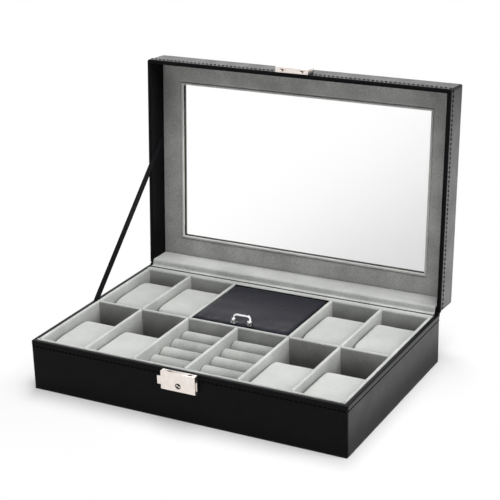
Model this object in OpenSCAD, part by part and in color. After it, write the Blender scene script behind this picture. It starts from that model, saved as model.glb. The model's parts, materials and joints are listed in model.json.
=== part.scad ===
// Watch box: leatherette case, fabric tray, glazed lid that stands open
// Units mm. Origin at the centre of the underside, +Z up, front at -Y.

/* [Case] */
// Outer width of the case
box_width = 300; // [290:1:320]
// Outer depth of the case
box_depth = 200; // [196:1:215]
// Height of the base, underside to rim
base_height = 46; // [45:0.5:50]
// Height of the lid without the rim gap
lid_height = 28.6; // [27.5:0.1:34]
// Gap between the two rims when shut
rim_gap = 0.4; // [0.3:0.1:0.6]
// Thickness of the base side boards
wall_board = 3.2; // [3:0.1:3.4]
// Thickness of the leatherette cover
cover_skin = 0.8; // [0.6:0.1:0.9]
// Radius of the upright outer corners
corner_radius = 2; // [1.5:0.1:2.2]
// Thickness of the bottom board
bottom_board = 3; // [2.5:0.1:3.5]
// Thickness of the felt under the case
felt_thick = 1; // [0.8:0.1:1.2]
// How far the felt stops short of the outline
felt_inset = 0.6; // [0.3:0.1:2]

/* [Tray] */
// Thickness of the wrapped lining cards
lining_thick = 3; // [2.6:0.1:3.4]
// Height of the fabric tops above the base rim
lining_rise = 0.6; // [0.3:0.1:1]
// Thickness of the floor lining
floor_lining_thick = 1.2; // [1:0.1:1.5]
// Thickness of the dividers
divider_thick = 3; // [2.6:0.1:3.2]
// Distance of the outer cross dividers from the middle
divider_outer = 98.25; // [97:0.25:99]
// Distance of the inner cross dividers from the middle
divider_inner = 49.75; // [49:0.25:50.5]
// Play in the half lap joints of the dividers
lap_play = 0.05; // [0.02:0.01:0.1]
// Distance from the rear outline to the rear lining's face
rear_shelf = 12; // [11.5:0.5:13]
// Thickness of the rear lining
rear_lining_thick = 4; // [3.5:0.1:4]
// Thickness of the ledge strip behind it
ledge_thick = 3.6; // [3:0.1:3.8]

/* [Pillows] */
// Length of a pillow, front to back
pillow_length = 65; // [60:0.5:66]
// Height of a pillow
pillow_height = 37; // [34:0.5:38]
// Radius of a pillow's lengthwise edges
pillow_edge = 15; // [12:0.5:17]
// Radius of a pillow's arched top
pillow_arch = 95; // [90:1:140]
// Gap between a pillow and each divider
pillow_gap = 0.5; // [0.3:0.1:0.8]
// Gap between the front pillows and the front lining
pillow_front_gap = 0.8; // [0.5:0.1:2]
// Gap between the back pillows and the long divider
pillow_back_gap = 14; // [10:0.5:16]
// How much further back the less tidy pillows lie
pillow_stray = 3; // [0:0.5:4]

/* [Ring rolls] */
// Number of rolls in a ring compartment
roll_count = 5; // [4:1:6]
// Gap between neighbouring rolls
roll_play = 0.3; // [0.2:0.05:0.6]
// Height of the roll tops
roll_top = 37.5; // [35:0.5:40]
// Gap between a roll block and the compartment's sides
roll_gap = 0.3; // [0.2:0.1:0.5]

/* [Mini compartment] */
// Thickness of the small lid
mini_thick = 3.3; // [3:0.1:3.6]
// Thickness of the leatherette on the small lid
mini_skin = 0.6; // [0.4:0.1:0.7]
// Gap round the small lid
mini_gap = 0.4; // [0.3:0.05:0.5]
// Radius of the piping that the small lid turns on
piping_radius = 0.8; // [0.6:0.1:0.9]
// Width and depth of the strips the small lid lies on
rest_size = 3; // [2.5:0.1:3.5]
// Gap between the small lid and its rests
rest_gap = 0.3; // [0.2:0.05:0.4]

/* [Handle] */
// Distance between the handle's feet
handle_span = 16; // [14:0.5:18]
// Sideways position of the handle
handle_x = 1; // [-2:0.5:2]
// Distance of the handle behind the long divider's centre
handle_y = 7; // [7:0.5:9]
// Radius of the handle's wire
handle_wire = 1.1; // [0.9:0.05:1.2]
// Height of the handle's bar over its pivot
handle_rise = 4.8; // [4.4:0.1:6]
// Lean of the handle towards the hinge, in degrees
handle_lean = 15; // [0:1:30]
// Radius of the pivot pins
handle_pin = 0.6; // [0.5:0.05:0.65]
// Running clearance round the pivot pins
handle_play = 0.05; // [0.03:0.01:0.1]

/* [Lid] */
// Opening angle of the lid, in degrees
lid_open = 93.7; // [88:0.1:98]
// Thickness of the lid side boards
lid_board = 2.4; // [2.2:0.1:2.4]
// Thickness of the black lining inside the lid
lid_lining = 0.5; // [0.4:0.05:0.5]
// Thickness of the lid's top board
top_board = 3.7; // [3.4:0.1:4]
// Distance from the outline to the window
window_inset = 26; // [24:0.5:28]
// Thickness of the glass
glass_thick = 1.25; // [1:0.05:1.3]
// How far the glass runs under the frame
glass_lap = 3.8; // [3:0.1:4.5]
// Thickness of the inner fabric panel
panel_thick = 1.2; // [1:0.1:1.3]
// How much wider the panel's window is on each side
panel_step = 0.5; // [0.3:0.1:1.5]
// Width of the panel's padded lip
lip_width = 2.5; // [2:0.1:3]
// Height of the panel's padded lip
lip_height = 0.6; // [0.4:0.1:0.8]

/* [Hinges] */
// Distance of the hinges from the middle
hinge_at = 90; // [80:1:100]
// Length of a hinge
hinge_length = 30; // [28:1:34]
// Outer radius of the knuckles
knuckle_radius = 1.5; // [1.4:0.05:1.5]
// Radius of the hinge pin
hinge_pin = 0.7; // [0.6:0.05:0.75]
// Running clearance between pin and lid knuckle
hinge_play = 0.05; // [0.03:0.01:0.08]
// How far the hinge axis lies behind the case
axis_back = 0.8; // [0.7:0.1:0.9]
// Thickness of the hinge leaves
leaf_thick = 0.8; // [0.7:0.05:0.85]
// Width of the hinge leaves
leaf_width = 1.8; // [1.7:0.05:1.85]
// Length of the hinge screws
hinge_screw_length = 8; // [6:0.5:10]
// Radius of the hinge screws
hinge_screw = 0.6; // [0.5:0.05:0.65]

/* [Lock] */
// Width of the lock and of the catch
lock_width = 32.5; // [32:0.5:34]
// Height of the lock
lock_height = 16.3; // [16:0.1:17]
// How far the lock stands out from the case
lock_proud = 5; // [5:0.1:5.4]
// Thickness of the lock's sheet
lock_sheet = 0.8; // [0.7:0.05:0.85]
// Height of the catch on the lid
catch_height = 12; // [11:0.5:16]
// Distance of the hooks from the middle
hook_at = 9.8; // [9.6:0.1:10]
// Length of the hooks below the rim
hook_drop = 5; // [4.8:0.1:5.2]
// Radius of the keyhole
keyhole_radius = 2.6; // [2.5:0.05:2.8]
// Clearance of the key cylinder in the keyhole
key_play = 0.08; // [0.04:0.01:0.1]

/* [Stay and flap] */
// Width of the stay ribbon
ribbon_width = 8; // [6:0.5:9]
// Thickness of the stay ribbon
ribbon_thick = 0.5; // [0.4:0.05:0.5]
// Distance of the ribbon's lid end from the hinge edge
ribbon_along = 120; // [110:1:126]
// Depth of the ribbon's lid end inside the rim
ribbon_deep = 17.5; // [14:0.5:18]
// Place of the ribbon's lower end, behind the middle if positive
ribbon_from = -3.5; // [-8:0.5:5]
// Thickness of the hinge flap
flap_thick = 0.6; // [0.5:0.05:0.6]

/* [Hidden] */
$fn = 48;
hx = box_width / 2;
hy = box_depth / 2;
bw = wall_board + cover_skin;          // base wall, cover and board
ix = hx - bw;
iy = hy - bw;
z_floor = felt_thick + bottom_board;
z_tray = z_floor + floor_lining_thick;
z_top = base_height + lining_rise;     // top of linings and dividers
tx = ix - lining_thick;                // inner face of side linings
ty = iy - lining_thick;                // inner face of the front lining
rear_lining_at = hy - rear_shelf;
dt = divider_thick / 2;
mid_z = (z_tray + z_top) / 2;
// the lid, drawn shut
zr = base_height + rim_gap;
zt = zr + lid_height;
lx = hx - cover_skin - lid_board;      // inner face of the lid boards
ly = hy - cover_skin - lid_board;
z_board = zt - cover_skin - top_board; // underside of the top board
z_panel = z_board - panel_thick;
wx = hx - window_inset;
wy = hy - window_inset;
ax_y = hy + axis_back;                 // hinge axis
ax_z = base_height + rim_gap / 2;
knuckle_clear = 0.4;
leaf_edge = hy - 1.3;                  // the leaf's long edge, clear of the barrel
screw_y = leaf_edge - leaf_width / 2;
screw_play = 0.05;
screw_at = hinge_length * 0.3;
leaf_reach = ax_y - knuckle_radius + 0.6;  // leaves end inside the knuckles
knuckle_end = 0.1;
flap_seam = 6.2;                       // height of the flap's seam over the lid's edge
flap_gap = 0.35;
flap_side = 0.6;
ribbon_play = 0.05;
ribbon_tail = 14;
// lock
lf = -hy - lock_proud;                 // lock's front face
lz = base_height - lock_height;
bar_back = -hy - 1.6;
bar_front = -hy - 3;
bar_low = lz + 2.8;
bar_high = bar_low + 7.5;
stem = 1.1;
barb = 1.2;
slide_travel = 1.6;
rivet = 1;
rivet_head = 1.7;
rivet_head_high = 0.5;
rivet_play = 0.05;
rivet_length = 4.2;
rivet_at = 12.5;
rivet_z = lz + 2.8;
catch_rivet_at = 4;
catch_rivet_z = zr + catch_height / 2 + 0.4;
hook_low = base_height - hook_drop;
key_z = lz + 4.9;
// small lid
mx = divider_inner - dt - mini_gap;
my0 = dt + mini_gap;
my1 = rear_lining_at - 1.9;
mz1 = z_top - 0.2;
mz0 = mz1 - mini_thick;
pip_y = my1 + 0.6;
pip_z = mz1 - piping_radius - 0.1;
mini_turn = 9;                         // width of the cover's turned edge underneath
foot_thick = 0.8;
eye_radius = 1.6;
eye_half = 1.1;
piv_z = mz1 + foot_thick + eye_radius + 0.3;
// pillows
side_w = tx - divider_outer - dt;
side_x = (tx + divider_outer + dt) / 2;
mid_w = divider_outer - divider_inner - 2 * dt;
mid_x = (divider_outer + divider_inner) / 2;
pillow_front_y = -ty + pillow_front_gap;
pillow_back_y = dt + pillow_back_gap;
// ring rolls
ring_w = divider_inner - 2 * dt;
ring_x = (divider_inner) / 2;
ring_y0 = -ty;
ring_y1 = -dt;
pitch = (ring_y1 - ring_y0) / roll_count;
roll_radius = (pitch - roll_play) / 2;
roll_z = roll_top - roll_radius;

velvet = [0.80, 0.81, 0.80];
velvet_dark = [0.62, 0.63, 0.63];
black = [0.06, 0.06, 0.07];
board = [0.60, 0.48, 0.35];
nickel = [0.86, 0.84, 0.82];

// box from two opposite corners
module block(a, b) {
    translate(a) cube([b[0] - a[0], b[1] - a[1], b[2] - a[2]]);
}

// block with round upright corners
module round_block(x, y, z0, z1, r) {
    block([-x + r, -y, z0], [x - r, y, z1]);
    block([-x, -y + r, z0], [x, y - r, z1]);
    for (sx = [-1, 1], sy = [-1, 1])
        translate([sx * (x - r), sy * (y - r), z0]) cylinder(r = r, h = z1 - z0);
}

// upright card along X with a round top
module card_x(x0, x1, y0, t, z0, z1) {
    block([x0, y0, z0], [x1, y0 + t, z1 - t / 2]);
    translate([x0, y0 + t / 2, z1 - t / 2]) rotate([0, 90, 0]) cylinder(r = t / 2, h = x1 - x0);
}

// upright card along Y with a round top
module card_y(x0, t, y0, y1, z0, z1) {
    block([x0, y0, z0], [x0 + t, y1, z1 - t / 2]);
    translate([x0 + t / 2, y0, z1 - t / 2]) rotate([-90, 0, 0]) cylinder(r = t / 2, h = y1 - y0);
}

// turns what is drawn shut to the open pose
module opened() {
    translate([0, ax_y, ax_z]) rotate([-lid_open, 0, 0]) translate([0, -ax_y, -ax_z]) children();
}

module both_hinges() {
    for (s = [-1, 1]) translate([s * hinge_at, 0, 0]) children();
}

// room for the barrel, along the axis
module barrel_room() {
    both_hinges() translate([-hinge_length / 2 - 0.3, ax_y, ax_z]) rotate([0, 90, 0])
        cylinder(r = knuckle_radius + knuckle_clear, h = hinge_length + 0.6);
}

module base_leaf_room() {
    both_hinges() block([-hinge_length / 2 - 0.2, leaf_edge - leaf_width - 0.2, base_height - leaf_thick],
        [hinge_length / 2 + 0.2, hy + 1, base_height + 1]);
}

module lid_leaf_room() {
    both_hinges() block([-hinge_length / 2 - 0.2, leaf_edge - leaf_width - 0.2, zr - 1],
        [hinge_length / 2 + 0.2, hy + 1, zr + leaf_thick]);
}

module base_screw_holes() {
    both_hinges() for (s = [-1, 1]) translate([s * screw_at, screw_y, base_height - hinge_screw_length - 1])
        cylinder(r = hinge_screw + screw_play, h = hinge_screw_length + 1);
}

module lid_screw_holes() {
    both_hinges() for (s = [-1, 1]) translate([s * screw_at, screw_y, zr])
        cylinder(r = hinge_screw + screw_play, h = hinge_screw_length + 1);
}

module rivet_holes() {
    for (s = [-1, 1]) translate([s * rivet_at, -hy - 2, rivet_z]) rotate([-90, 0, 0])
        cylinder(r = rivet + rivet_play, h = rivet_length + 1);
}

module catch_rivet_holes() {
    for (s = [-1, 1]) translate([s * catch_rivet_at, -hy - 2, catch_rivet_z]) rotate([-90, 0, 0])
        cylinder(r = rivet + rivet_play, h = rivet_length);
}

// ---- base boards
module base_front_board() {
    color(board) difference() {
        block([-hx + cover_skin, -hy + cover_skin, felt_thick],
            [hx - cover_skin, -hy + bw, base_height - cover_skin]);
        rivet_holes();
    }
}

module base_rear_board() {
    color(board) difference() {
        block([-hx + cover_skin, hy - bw, felt_thick],
            [hx - cover_skin, hy - cover_skin, base_height - cover_skin]);
        barrel_room();
        base_leaf_room();
        base_screw_holes();
    }
}

module base_left_board() {
    color(board) block([-hx + cover_skin, -hy + bw, felt_thick],
        [-hx + bw, hy - bw, base_height - cover_skin]);
}

module base_right_board() {
    color(board) block([hx - bw, -hy + bw, felt_thick],
        [hx - cover_skin, hy - bw, base_height - cover_skin]);
}

module base_bottom_board() {
    color(board) block([-ix, -iy, felt_thick], [ix, iy, z_floor]);
}

module base_cover() {
    color(black) difference() {
        round_block(hx, hy, felt_thick, base_height, corner_radius);
        block([-hx + cover_skin, -hy + cover_skin, felt_thick - 1],
            [hx - cover_skin, hy - cover_skin, base_height - cover_skin]);
        block([-ix, -iy, felt_thick - 1], [ix, iy, base_height + 1]);
        barrel_room();
        base_leaf_room();
        rivet_holes();
    }
}

module underside_felt() {
    color(black) block([-hx + felt_inset, -hy + felt_inset, 0],
        [hx - felt_inset, hy - felt_inset, felt_thick]);
}

// ---- tray
module floor_lining() {
    color(velvet) block([-ix, -iy, z_floor], [ix, iy, z_tray]);
}

module lining_front() {
    color(velvet) card_x(-ix, ix, -iy, lining_thick, z_tray, z_top);
}

module lining_rear() {
    color(velvet) card_x(-ix, ix, rear_lining_at, rear_lining_thick, z_tray, z_top);
}

module rear_ledge() {
    color(velvet) block([-ix, rear_lining_at + rear_lining_thick, z_tray],
        [ix, rear_lining_at + rear_lining_thick + ledge_thick, base_height - 0.2]);
}

module lining_left() {
    color(velvet) difference() {
        card_y(-ix, lining_thick, -ty, rear_lining_at, z_tray, z_top);
        // pocket for the ribbon's lower end
        block([-ix - 1, ribbon_from - ribbon_width, base_height - ribbon_tail - 2],
            [-ix + ribbon_thick + 0.3, ribbon_from + ribbon_width * 1.8, z_top + 1]);
    }
}

module lining_right() {
    color(velvet) card_y(tx, lining_thick, -ty, rear_lining_at, z_tray, z_top);
}

module cross_laps() {
    for (x = [-divider_outer, -divider_inner, divider_inner, divider_outer])
        block([x - dt - lap_play, -dt - 1, mid_z], [x + dt + lap_play, dt + 1, z_top + 1]);
}

module long_divider() {
    color(velvet) difference() {
        card_x(-tx, tx, -dt, divider_thick, z_tray, z_top);
        cross_laps();
    }
}

module cross_divider(x) {
    color(velvet) difference() {
        card_y(x - dt, divider_thick, -ty, rear_lining_at, z_tray, z_top);
        block([x - dt - 1, -dt - lap_play, z_tray - 1], [x + dt + 1, dt + lap_play, mid_z]);
    }
}

module cross_divider_1() cross_divider(-divider_outer);
module cross_divider_2() cross_divider(-divider_inner);
module cross_divider_3() cross_divider(divider_inner);
module cross_divider_4() cross_divider(divider_outer);

module ring_divider() {
    color(velvet) card_y(-dt, divider_thick, -ty, -dt, z_tray, z_top);
}

// foam block with rolls across its top
module ring_rolls(x) {
    w = ring_w / 2 - roll_gap;
    color(velvet) {
        block([x - w, ring_y0 + roll_gap, z_tray], [x + w, ring_y1 - roll_gap, roll_z - 2.5]);
        for (i = [0 : roll_count - 1])
            translate([x - w, ring_y0 + pitch * (i + 0.5), roll_z]) rotate([0, 90, 0])
                cylinder(r = roll_radius, h = 2 * w);
    }
}

module ring_rolls_left() ring_rolls(-ring_x);
module ring_rolls_right() ring_rolls(ring_x);

module compartment_rests() {
    z1 = mz0 - rest_gap;
    color(velvet_dark) {
        for (s = [-1, 1])
            block([s > 0 ? divider_inner - dt - rest_size : -divider_inner + dt, dt + rest_size + 0.5, z1 - rest_size],
                [s > 0 ? divider_inner - dt : -divider_inner + dt + rest_size, rear_lining_at - 4, z1]);
        block([-divider_inner + dt, dt, z1 - rest_size], [divider_inner - dt, dt + rest_size, z1]);
    }
}

// loaf shaped cushion
module pillow(x, w, y0) {
    h = pillow_height;
    l = pillow_length;
    r = pillow_edge;
    color(velvet) translate([x - w / 2, y0, z_tray]) intersection() {
        union() {
            block([0, r, 0], [w, l - r, h]);
            block([0, 0, r], [w, l, h - r]);
            for (y = [r, l - r], z = [r, h - r])
                translate([0, y, z]) rotate([0, 90, 0]) cylinder(r = r, h = w);
        }
        translate([0, l / 2, h - pillow_arch]) rotate([0, 90, 0]) cylinder(r = pillow_arch, h = w, $fn = 180);
    }
}

module side_pillow(s, y0) pillow(s * side_x, side_w - 2 * pillow_gap, y0);
module mid_pillow(s, y0) pillow(s * mid_x, mid_w - 2 * pillow_gap, y0);
module pillow_front_1() side_pillow(-1, pillow_front_y + 2 * pillow_stray);
module pillow_front_2() mid_pillow(-1, pillow_front_y);
module pillow_front_3() mid_pillow(1, pillow_front_y);
module pillow_front_4() side_pillow(1, pillow_front_y);
module pillow_back_1() side_pillow(-1, pillow_back_y);
module pillow_back_2() mid_pillow(-1, pillow_back_y + pillow_stray);
module pillow_back_3() mid_pillow(1, pillow_back_y - pillow_stray / 2);
module pillow_back_4() side_pillow(1, pillow_back_y);

// ---- mini compartment lid
module handle_holes() {
    for (s = [-1, 1]) translate([handle_x + s * handle_span / 2, handle_y, mz0 - 1])
        cylinder(r = 1, h = mini_thick + 2);
}

module compartment_lid_board() {
    color(board) difference() {
        block([-mx + mini_skin, my0 + mini_skin, mz0 + mini_skin],
            [mx - mini_skin, my1 - mini_skin - 0.6, mz1 - mini_skin]);
        handle_holes();
    }
}

module compartment_lid_cover() {
    color(black) difference() {
        block([-mx, my0, mz0], [mx, my1, mz1]);
        block([-mx + mini_skin, my0 + mini_skin, mz0 + mini_skin],
            [mx - mini_skin, my1 - mini_skin - 0.6, mz1 - mini_skin]);
        block([-mx + mini_turn, my0 + mini_turn, mz0 - 1], [mx - mini_turn, my1 - mini_turn, mz0 + mini_skin]);
        translate([-mx - 1, pip_y, pip_z]) rotate([0, 90, 0]) cylinder(r = piping_radius + 0.02, h = 2 * mx + 2);
        handle_holes();
    }
}

module compartment_lid_piping() {
    color(black) translate([-mx, pip_y, pip_z]) rotate([0, 90, 0]) cylinder(r = piping_radius, h = 2 * mx);
}

module handle_feet() {
    color(nickel) for (s = [-1, 1]) translate([handle_x + s * handle_span / 2, handle_y, 0]) {
        translate([0, 0, mz1]) cylinder(r = 2.9, h = foot_thick);
        for (e = [-1, 1]) {
            block([e > 0 ? eye_half + 0.3 : -eye_half - 1.1, -1.5, mz1],
                [e > 0 ? eye_half + 1.1 : -eye_half - 0.3, 1.5, piv_z]);
            translate([e > 0 ? eye_half + 0.3 : -eye_half - 1.1, 0, piv_z]) rotate([0, 90, 0])
                cylinder(r = 1.5, h = 0.8);
        }
        translate([-eye_half - 1.3, 0, piv_z]) rotate([0, 90, 0])
            cylinder(r = handle_pin, h = 2 * eye_half + 2.6);
        translate([0, 0, mz0 - 1.4]) cylinder(r = 0.9, h = mini_thick + 1.4 + foot_thick / 2);
        translate([0, 0, mz0 - 1.2]) cylinder(r = 2, h = 1.2);
    }
}

module handle_bail() {
    half = handle_span / 2;
    bend = 2.6;
    color(nickel) translate([handle_x, handle_y, piv_z]) rotate([-handle_lean, 0, 0]) difference() {
        union() {
            for (s = [-1, 1]) {
                translate([s * half - eye_half, 0, 0]) rotate([0, 90, 0]) cylinder(r = eye_radius, h = 2 * eye_half);
                translate([s * half, 0, 0]) cylinder(r = handle_wire, h = handle_rise - bend);
                translate([s * (half - bend), 0, handle_rise - bend]) rotate([90, 0, s > 0 ? 0 : 180])
                    rotate_extrude(angle = 90) translate([bend, 0]) circle(r = handle_wire);
            }
            translate([-half + bend, 0, handle_rise]) rotate([0, 90, 0])
                cylinder(r = handle_wire, h = 2 * (half - bend));
        }
        for (s = [-1, 1]) translate([s * half - eye_half - 1, 0, 0]) rotate([0, 90, 0])
            cylinder(r = handle_pin + handle_play, h = 2 * eye_half + 2);
    }
}

// ---- lid
module lid_front_board() {
    color(board) opened() difference() {
        block([-hx + cover_skin, -hy + cover_skin, zr + cover_skin], [hx - cover_skin, -ly, z_board]);
        catch_rivet_holes();
    }
}

module lid_rear_board() {
    color(board) opened() difference() {
        block([-hx + cover_skin, ly, zr + cover_skin], [hx - cover_skin, hy - cover_skin, z_board]);
        barrel_room();
        lid_leaf_room();
        lid_screw_holes();
    }
}

module lid_left_board() {
    color(board) opened() block([-hx + cover_skin, -ly, zr + cover_skin], [-lx, ly, z_board]);
}

module lid_right_board() {
    color(board) opened() block([lx, -ly, zr + cover_skin], [hx - cover_skin, ly, z_board]);
}

module lid_top_board() {
    color(board) opened() difference() {
        block([-hx + cover_skin, -hy + cover_skin, z_board], [hx - cover_skin, hy - cover_skin, zt - cover_skin]);
        block([-wx - cover_skin, -wy - cover_skin, z_board - 1], [wx + cover_skin, wy + cover_skin, zt]);
        block([-wx - glass_lap - 0.2, -wy - glass_lap - 0.2, z_board - 1],
            [wx + glass_lap + 0.2, wy + glass_lap + 0.2, z_board + glass_thick + 0.05]);
    }
}

module lid_cover() {
    color(black) opened() difference() {
        union() {
            difference() {
                round_block(hx, hy, zr, zt, corner_radius);
                block([-hx + cover_skin, -hy + cover_skin, zr + cover_skin],
                    [hx - cover_skin, hy - cover_skin, zt - cover_skin]);
                block([-lx, -ly, zr - 1], [lx, ly, zr + cover_skin + 1]);
            }
            block([-wx - cover_skin, -wy - cover_skin, z_board + glass_thick + 0.05],
                [wx + cover_skin, wy + cover_skin, zt - cover_skin / 2]);
        }
        block([-wx, -wy, zr], [wx, wy, zt + 1]);
        barrel_room();
        lid_leaf_room();
        catch_rivet_holes();
    }
}

module lid_inner_lining() {
    color(black) opened() difference() {
        block([-lx, -ly, zr], [lx, ly, z_panel]);
        block([-lx + lid_lining, -ly + lid_lining, zr - 1], [lx - lid_lining, ly - lid_lining, z_panel + 1]);
    }
}

module lid_glass() {
    color([0.8, 0.9, 0.9, 0.3]) opened() block([-wx - glass_lap, -wy - glass_lap, z_board],
        [wx + glass_lap, wy + glass_lap, z_board + glass_thick]);
}

module lid_panel() {
    px = wx + panel_step;
    py = wy + panel_step;
    color(velvet_dark) opened() difference() {
        union() {
            block([-lx, -ly, z_panel], [lx, ly, z_board]);
            block([-px - lip_width, -py - lip_width, z_panel - lip_height],
                [px + lip_width, py + lip_width, z_panel + 0.2]);
        }
        block([-px, -py, z_panel - 2], [px, py, z_board + 1]);
    }
}

// ---- hinges
module hinge_base_leaves() {
    k = hinge_length / 3;
    color(nickel) both_hinges() difference() {
        union() {
            block([-hinge_length / 2, leaf_edge - leaf_width, base_height - leaf_thick],
                [hinge_length / 2, leaf_edge, base_height]);
            for (x = [-hinge_length / 2, hinge_length / 2 - k + knuckle_end]) {
                block([x, leaf_edge - 0.1, base_height - leaf_thick], [x + k - knuckle_end, leaf_reach, base_height]);
                translate([x, ax_y, ax_z]) rotate([0, 90, 0]) cylinder(r = knuckle_radius, h = k - knuckle_end);
            }
        }
        translate([-hinge_length, ax_y, ax_z]) rotate([0, 90, 0]) cylinder(r = hinge_pin + 0.01, h = 2 * hinge_length);
        for (s = [-1, 1]) translate([s * screw_at, screw_y, base_height - 2])
            cylinder(r = hinge_screw + 2 * screw_play, h = 4);
    }
}

module hinge_lid_leaves() {
    k = hinge_length / 3;
    color(nickel) opened() both_hinges() difference() {
        union() {
            block([-hinge_length / 2, leaf_edge - leaf_width, zr], [hinge_length / 2, leaf_edge, zr + leaf_thick]);
            block([-k / 2, leaf_edge - 0.1, zr], [k / 2, leaf_reach, zr + leaf_thick]);
            translate([-k / 2, ax_y, ax_z]) rotate([0, 90, 0]) cylinder(r = knuckle_radius, h = k);
        }
        translate([-hinge_length, ax_y, ax_z]) rotate([0, 90, 0]) cylinder(r = hinge_pin + hinge_play, h = 2 * hinge_length);
        for (s = [-1, 1]) translate([s * screw_at, screw_y, zr - 2])
            cylinder(r = hinge_screw + 2 * screw_play, h = 4);
    }
}

module hinge_pins() {
    color(nickel) both_hinges() translate([-hinge_length / 2 - 0.2, ax_y, ax_z]) rotate([0, 90, 0])
        cylinder(r = hinge_pin, h = hinge_length + 0.4);
}

module hinge_base_screws() {
    color(nickel) both_hinges() for (s = [-1, 1])
        translate([s * screw_at, screw_y, base_height - hinge_screw_length])
            cylinder(r = hinge_screw, h = hinge_screw_length);
}

module hinge_lid_screws() {
    color(nickel) opened() both_hinges() for (s = [-1, 1]) translate([s * screw_at, screw_y, zr])
        cylinder(r = hinge_screw, h = hinge_screw_length);
}

// fabric that covers the joint between base and lid
module hinge_flap() {
    t = flap_thick;
    v = flap_seam + axis_back;
    w = z_panel - ax_z - flap_gap;
    p = [[hy - 4.3, base_height + 0.75], [hy - 1.8, base_height + 0.8], [hy + 0.1, base_height + 5.2],
        [hy + 1.2, base_height + 5.8],
        [ax_y - v * cos(lid_open) + w * sin(lid_open), ax_z + v * sin(lid_open) + w * cos(lid_open)]];
    color(velvet) translate([-ix + flap_side, 0, 0]) rotate([90, 0, 90]) linear_extrude(height = 2 * (ix - flap_side))
        polygon([p[0], p[1], p[2], p[3], p[4], p[4] - [0, t], p[3] - [-0.1, t], p[2] - [-0.5, t - 0.3],
            p[1] - [-0.2, t], p[0] - [0, t]]);
}

// flat ribbon that stops the lid
module stay_ribbon() {
    v = ribbon_along + axis_back;
    w = ribbon_deep;
    top = [ax_y - v * cos(lid_open) + w * sin(lid_open), ax_z + v * sin(lid_open) + w * cos(lid_open)];
    low = [ribbon_from, base_height];
    d = (top - low) / norm(top - low);
    n = [-d[1], d[0]] * ribbon_width / 2;
    color(black) translate([-ix + ribbon_play, 0, 0]) rotate([90, 0, 90]) linear_extrude(height = ribbon_thick)
        polygon([[low[0] - ribbon_width / 2, low[1] - ribbon_tail], [low[0] + ribbon_width / 2, low[1] - ribbon_tail],
            [low[0] + ribbon_width / 2, low[1]], low - n + d * 4, top - n, top + n, low + n + d * 1]);
}

// ---- lock
module lock_backplate() {
    i = lock_width / 2 - lock_sheet - 0.05;
    color(nickel) difference() {
        union() {
            block([-i, -hy - lock_sheet, lz + lock_sheet + 0.05], [i, -hy, base_height - lock_sheet - 0.05]);
            block([3, -hy - 3.2, bar_high + 0.9], [3.8, -hy - lock_sheet / 2, bar_high + 4]);
        }
        rivet_holes();
    }
}

module lock_cover() {
    i = lock_width / 2 - lock_sheet;
    color(nickel) difference() {
        block([-lock_width / 2, lf, lz], [lock_width / 2, -hy, base_height]);
        block([-i, lf + lock_sheet, lz + lock_sheet], [i, -hy + 1, base_height - lock_sheet]);
        translate([0, lf - 1, key_z]) rotate([-90, 0, 0]) cylinder(r = keyhole_radius, h = 3);
        for (s = [-1, 1])
            block([s * hook_at - stem - 0.5, bar_front - 0.3, base_height - 2],
                [s * hook_at + stem + barb + 0.4, bar_back + 0.3, base_height + 1]);
        block([-lock_width, bar_front - 0.3, bar_low - 0.3], [lock_width, bar_back + 0.3, bar_high + 0.3]);
    }
}

module lock_slide() {
    color(nickel) difference() {
        union() {
            block([-lock_width / 2 - 4.7, bar_front, bar_low], [lock_width / 2 + 0.8, bar_back, bar_high]);
            for (s = [-1, 1])
                block([s * hook_at - stem - slide_travel - 1.9, bar_front, bar_high - 1],
                    [s * hook_at + stem + barb + 1.5, bar_back, base_height - lock_sheet - 0.4]);
        }
        for (s = [-1, 1]) {
            block([s * hook_at - stem - slide_travel - 0.4, bar_front - 1, hook_low - 0.4],
                [s * hook_at + stem + barb + 0.3, bar_back + 1, hook_low + 2.3]);
            block([s * hook_at - stem - slide_travel - 0.4, bar_front - 1, hook_low],
                [s * hook_at + stem + 0.3, bar_back + 1, base_height]);
        }
    }
}

// flat zigzag spring between the slide and the backplate's lug
module lock_spring() {
    x0 = -hook_at + stem + barb + 1.55;
    n = 6;
    s = (2.95 - x0 - 0.1) / n;
    y = function (i) i % 2 == 0 ? bar_front + 0.2 : bar_back - 0.5;
    color(nickel) translate([x0, 0, bar_high + 1.4]) linear_extrude(height = 1.8)
        polygon(concat([for (i = [0 : n]) [i * s, y(i)]], [for (i = [n : -1 : 0]) [i * s + 0.1, y(i) + 0.3]]));
}

module lock_key_cylinder() {
    r = keyhole_radius - key_play;
    color(nickel) translate([0, lf, key_z]) rotate([-90, 0, 0]) {
        difference() {
            union() {
                translate([0, 0, 0.15]) cylinder(r = r, h = 1.4);
                translate([0, 0, lock_sheet + 0.1]) cylinder(r = r + 0.6, h = 0.8);
            }
            translate([0, 0, -1]) cylinder(r = r - 0.5, h = 2.2);
        }
        block([-r + 0.3, -0.55, 0.35], [r - 0.3, 0.55, 1.3]);
    }
}

module lock_rivets() {
    color(nickel) for (s = [-1, 1])
        translate([s * rivet_at, -hy - lock_sheet - rivet_head_high, rivet_z]) rotate([-90, 0, 0]) {
            cylinder(r = rivet_head, h = rivet_head_high);
            cylinder(r = rivet, h = rivet_length);
        }
}

module catch_cover() {
    i = lock_width / 2 - lock_sheet;
    color(nickel) opened() difference() {
        block([-lock_width / 2, lf, zr], [lock_width / 2, -hy, zr + catch_height]);
        block([-i, lf + lock_sheet, zr + lock_sheet], [i, -hy + 1, zr + catch_height - lock_sheet]);
        for (s = [-1, 1])
            block([s * hook_at - stem - 0.5, bar_front - 0.3, zr - 1],
                [s * hook_at + stem + 0.5, bar_back + 0.3, zr + 2]);
    }
}

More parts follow.
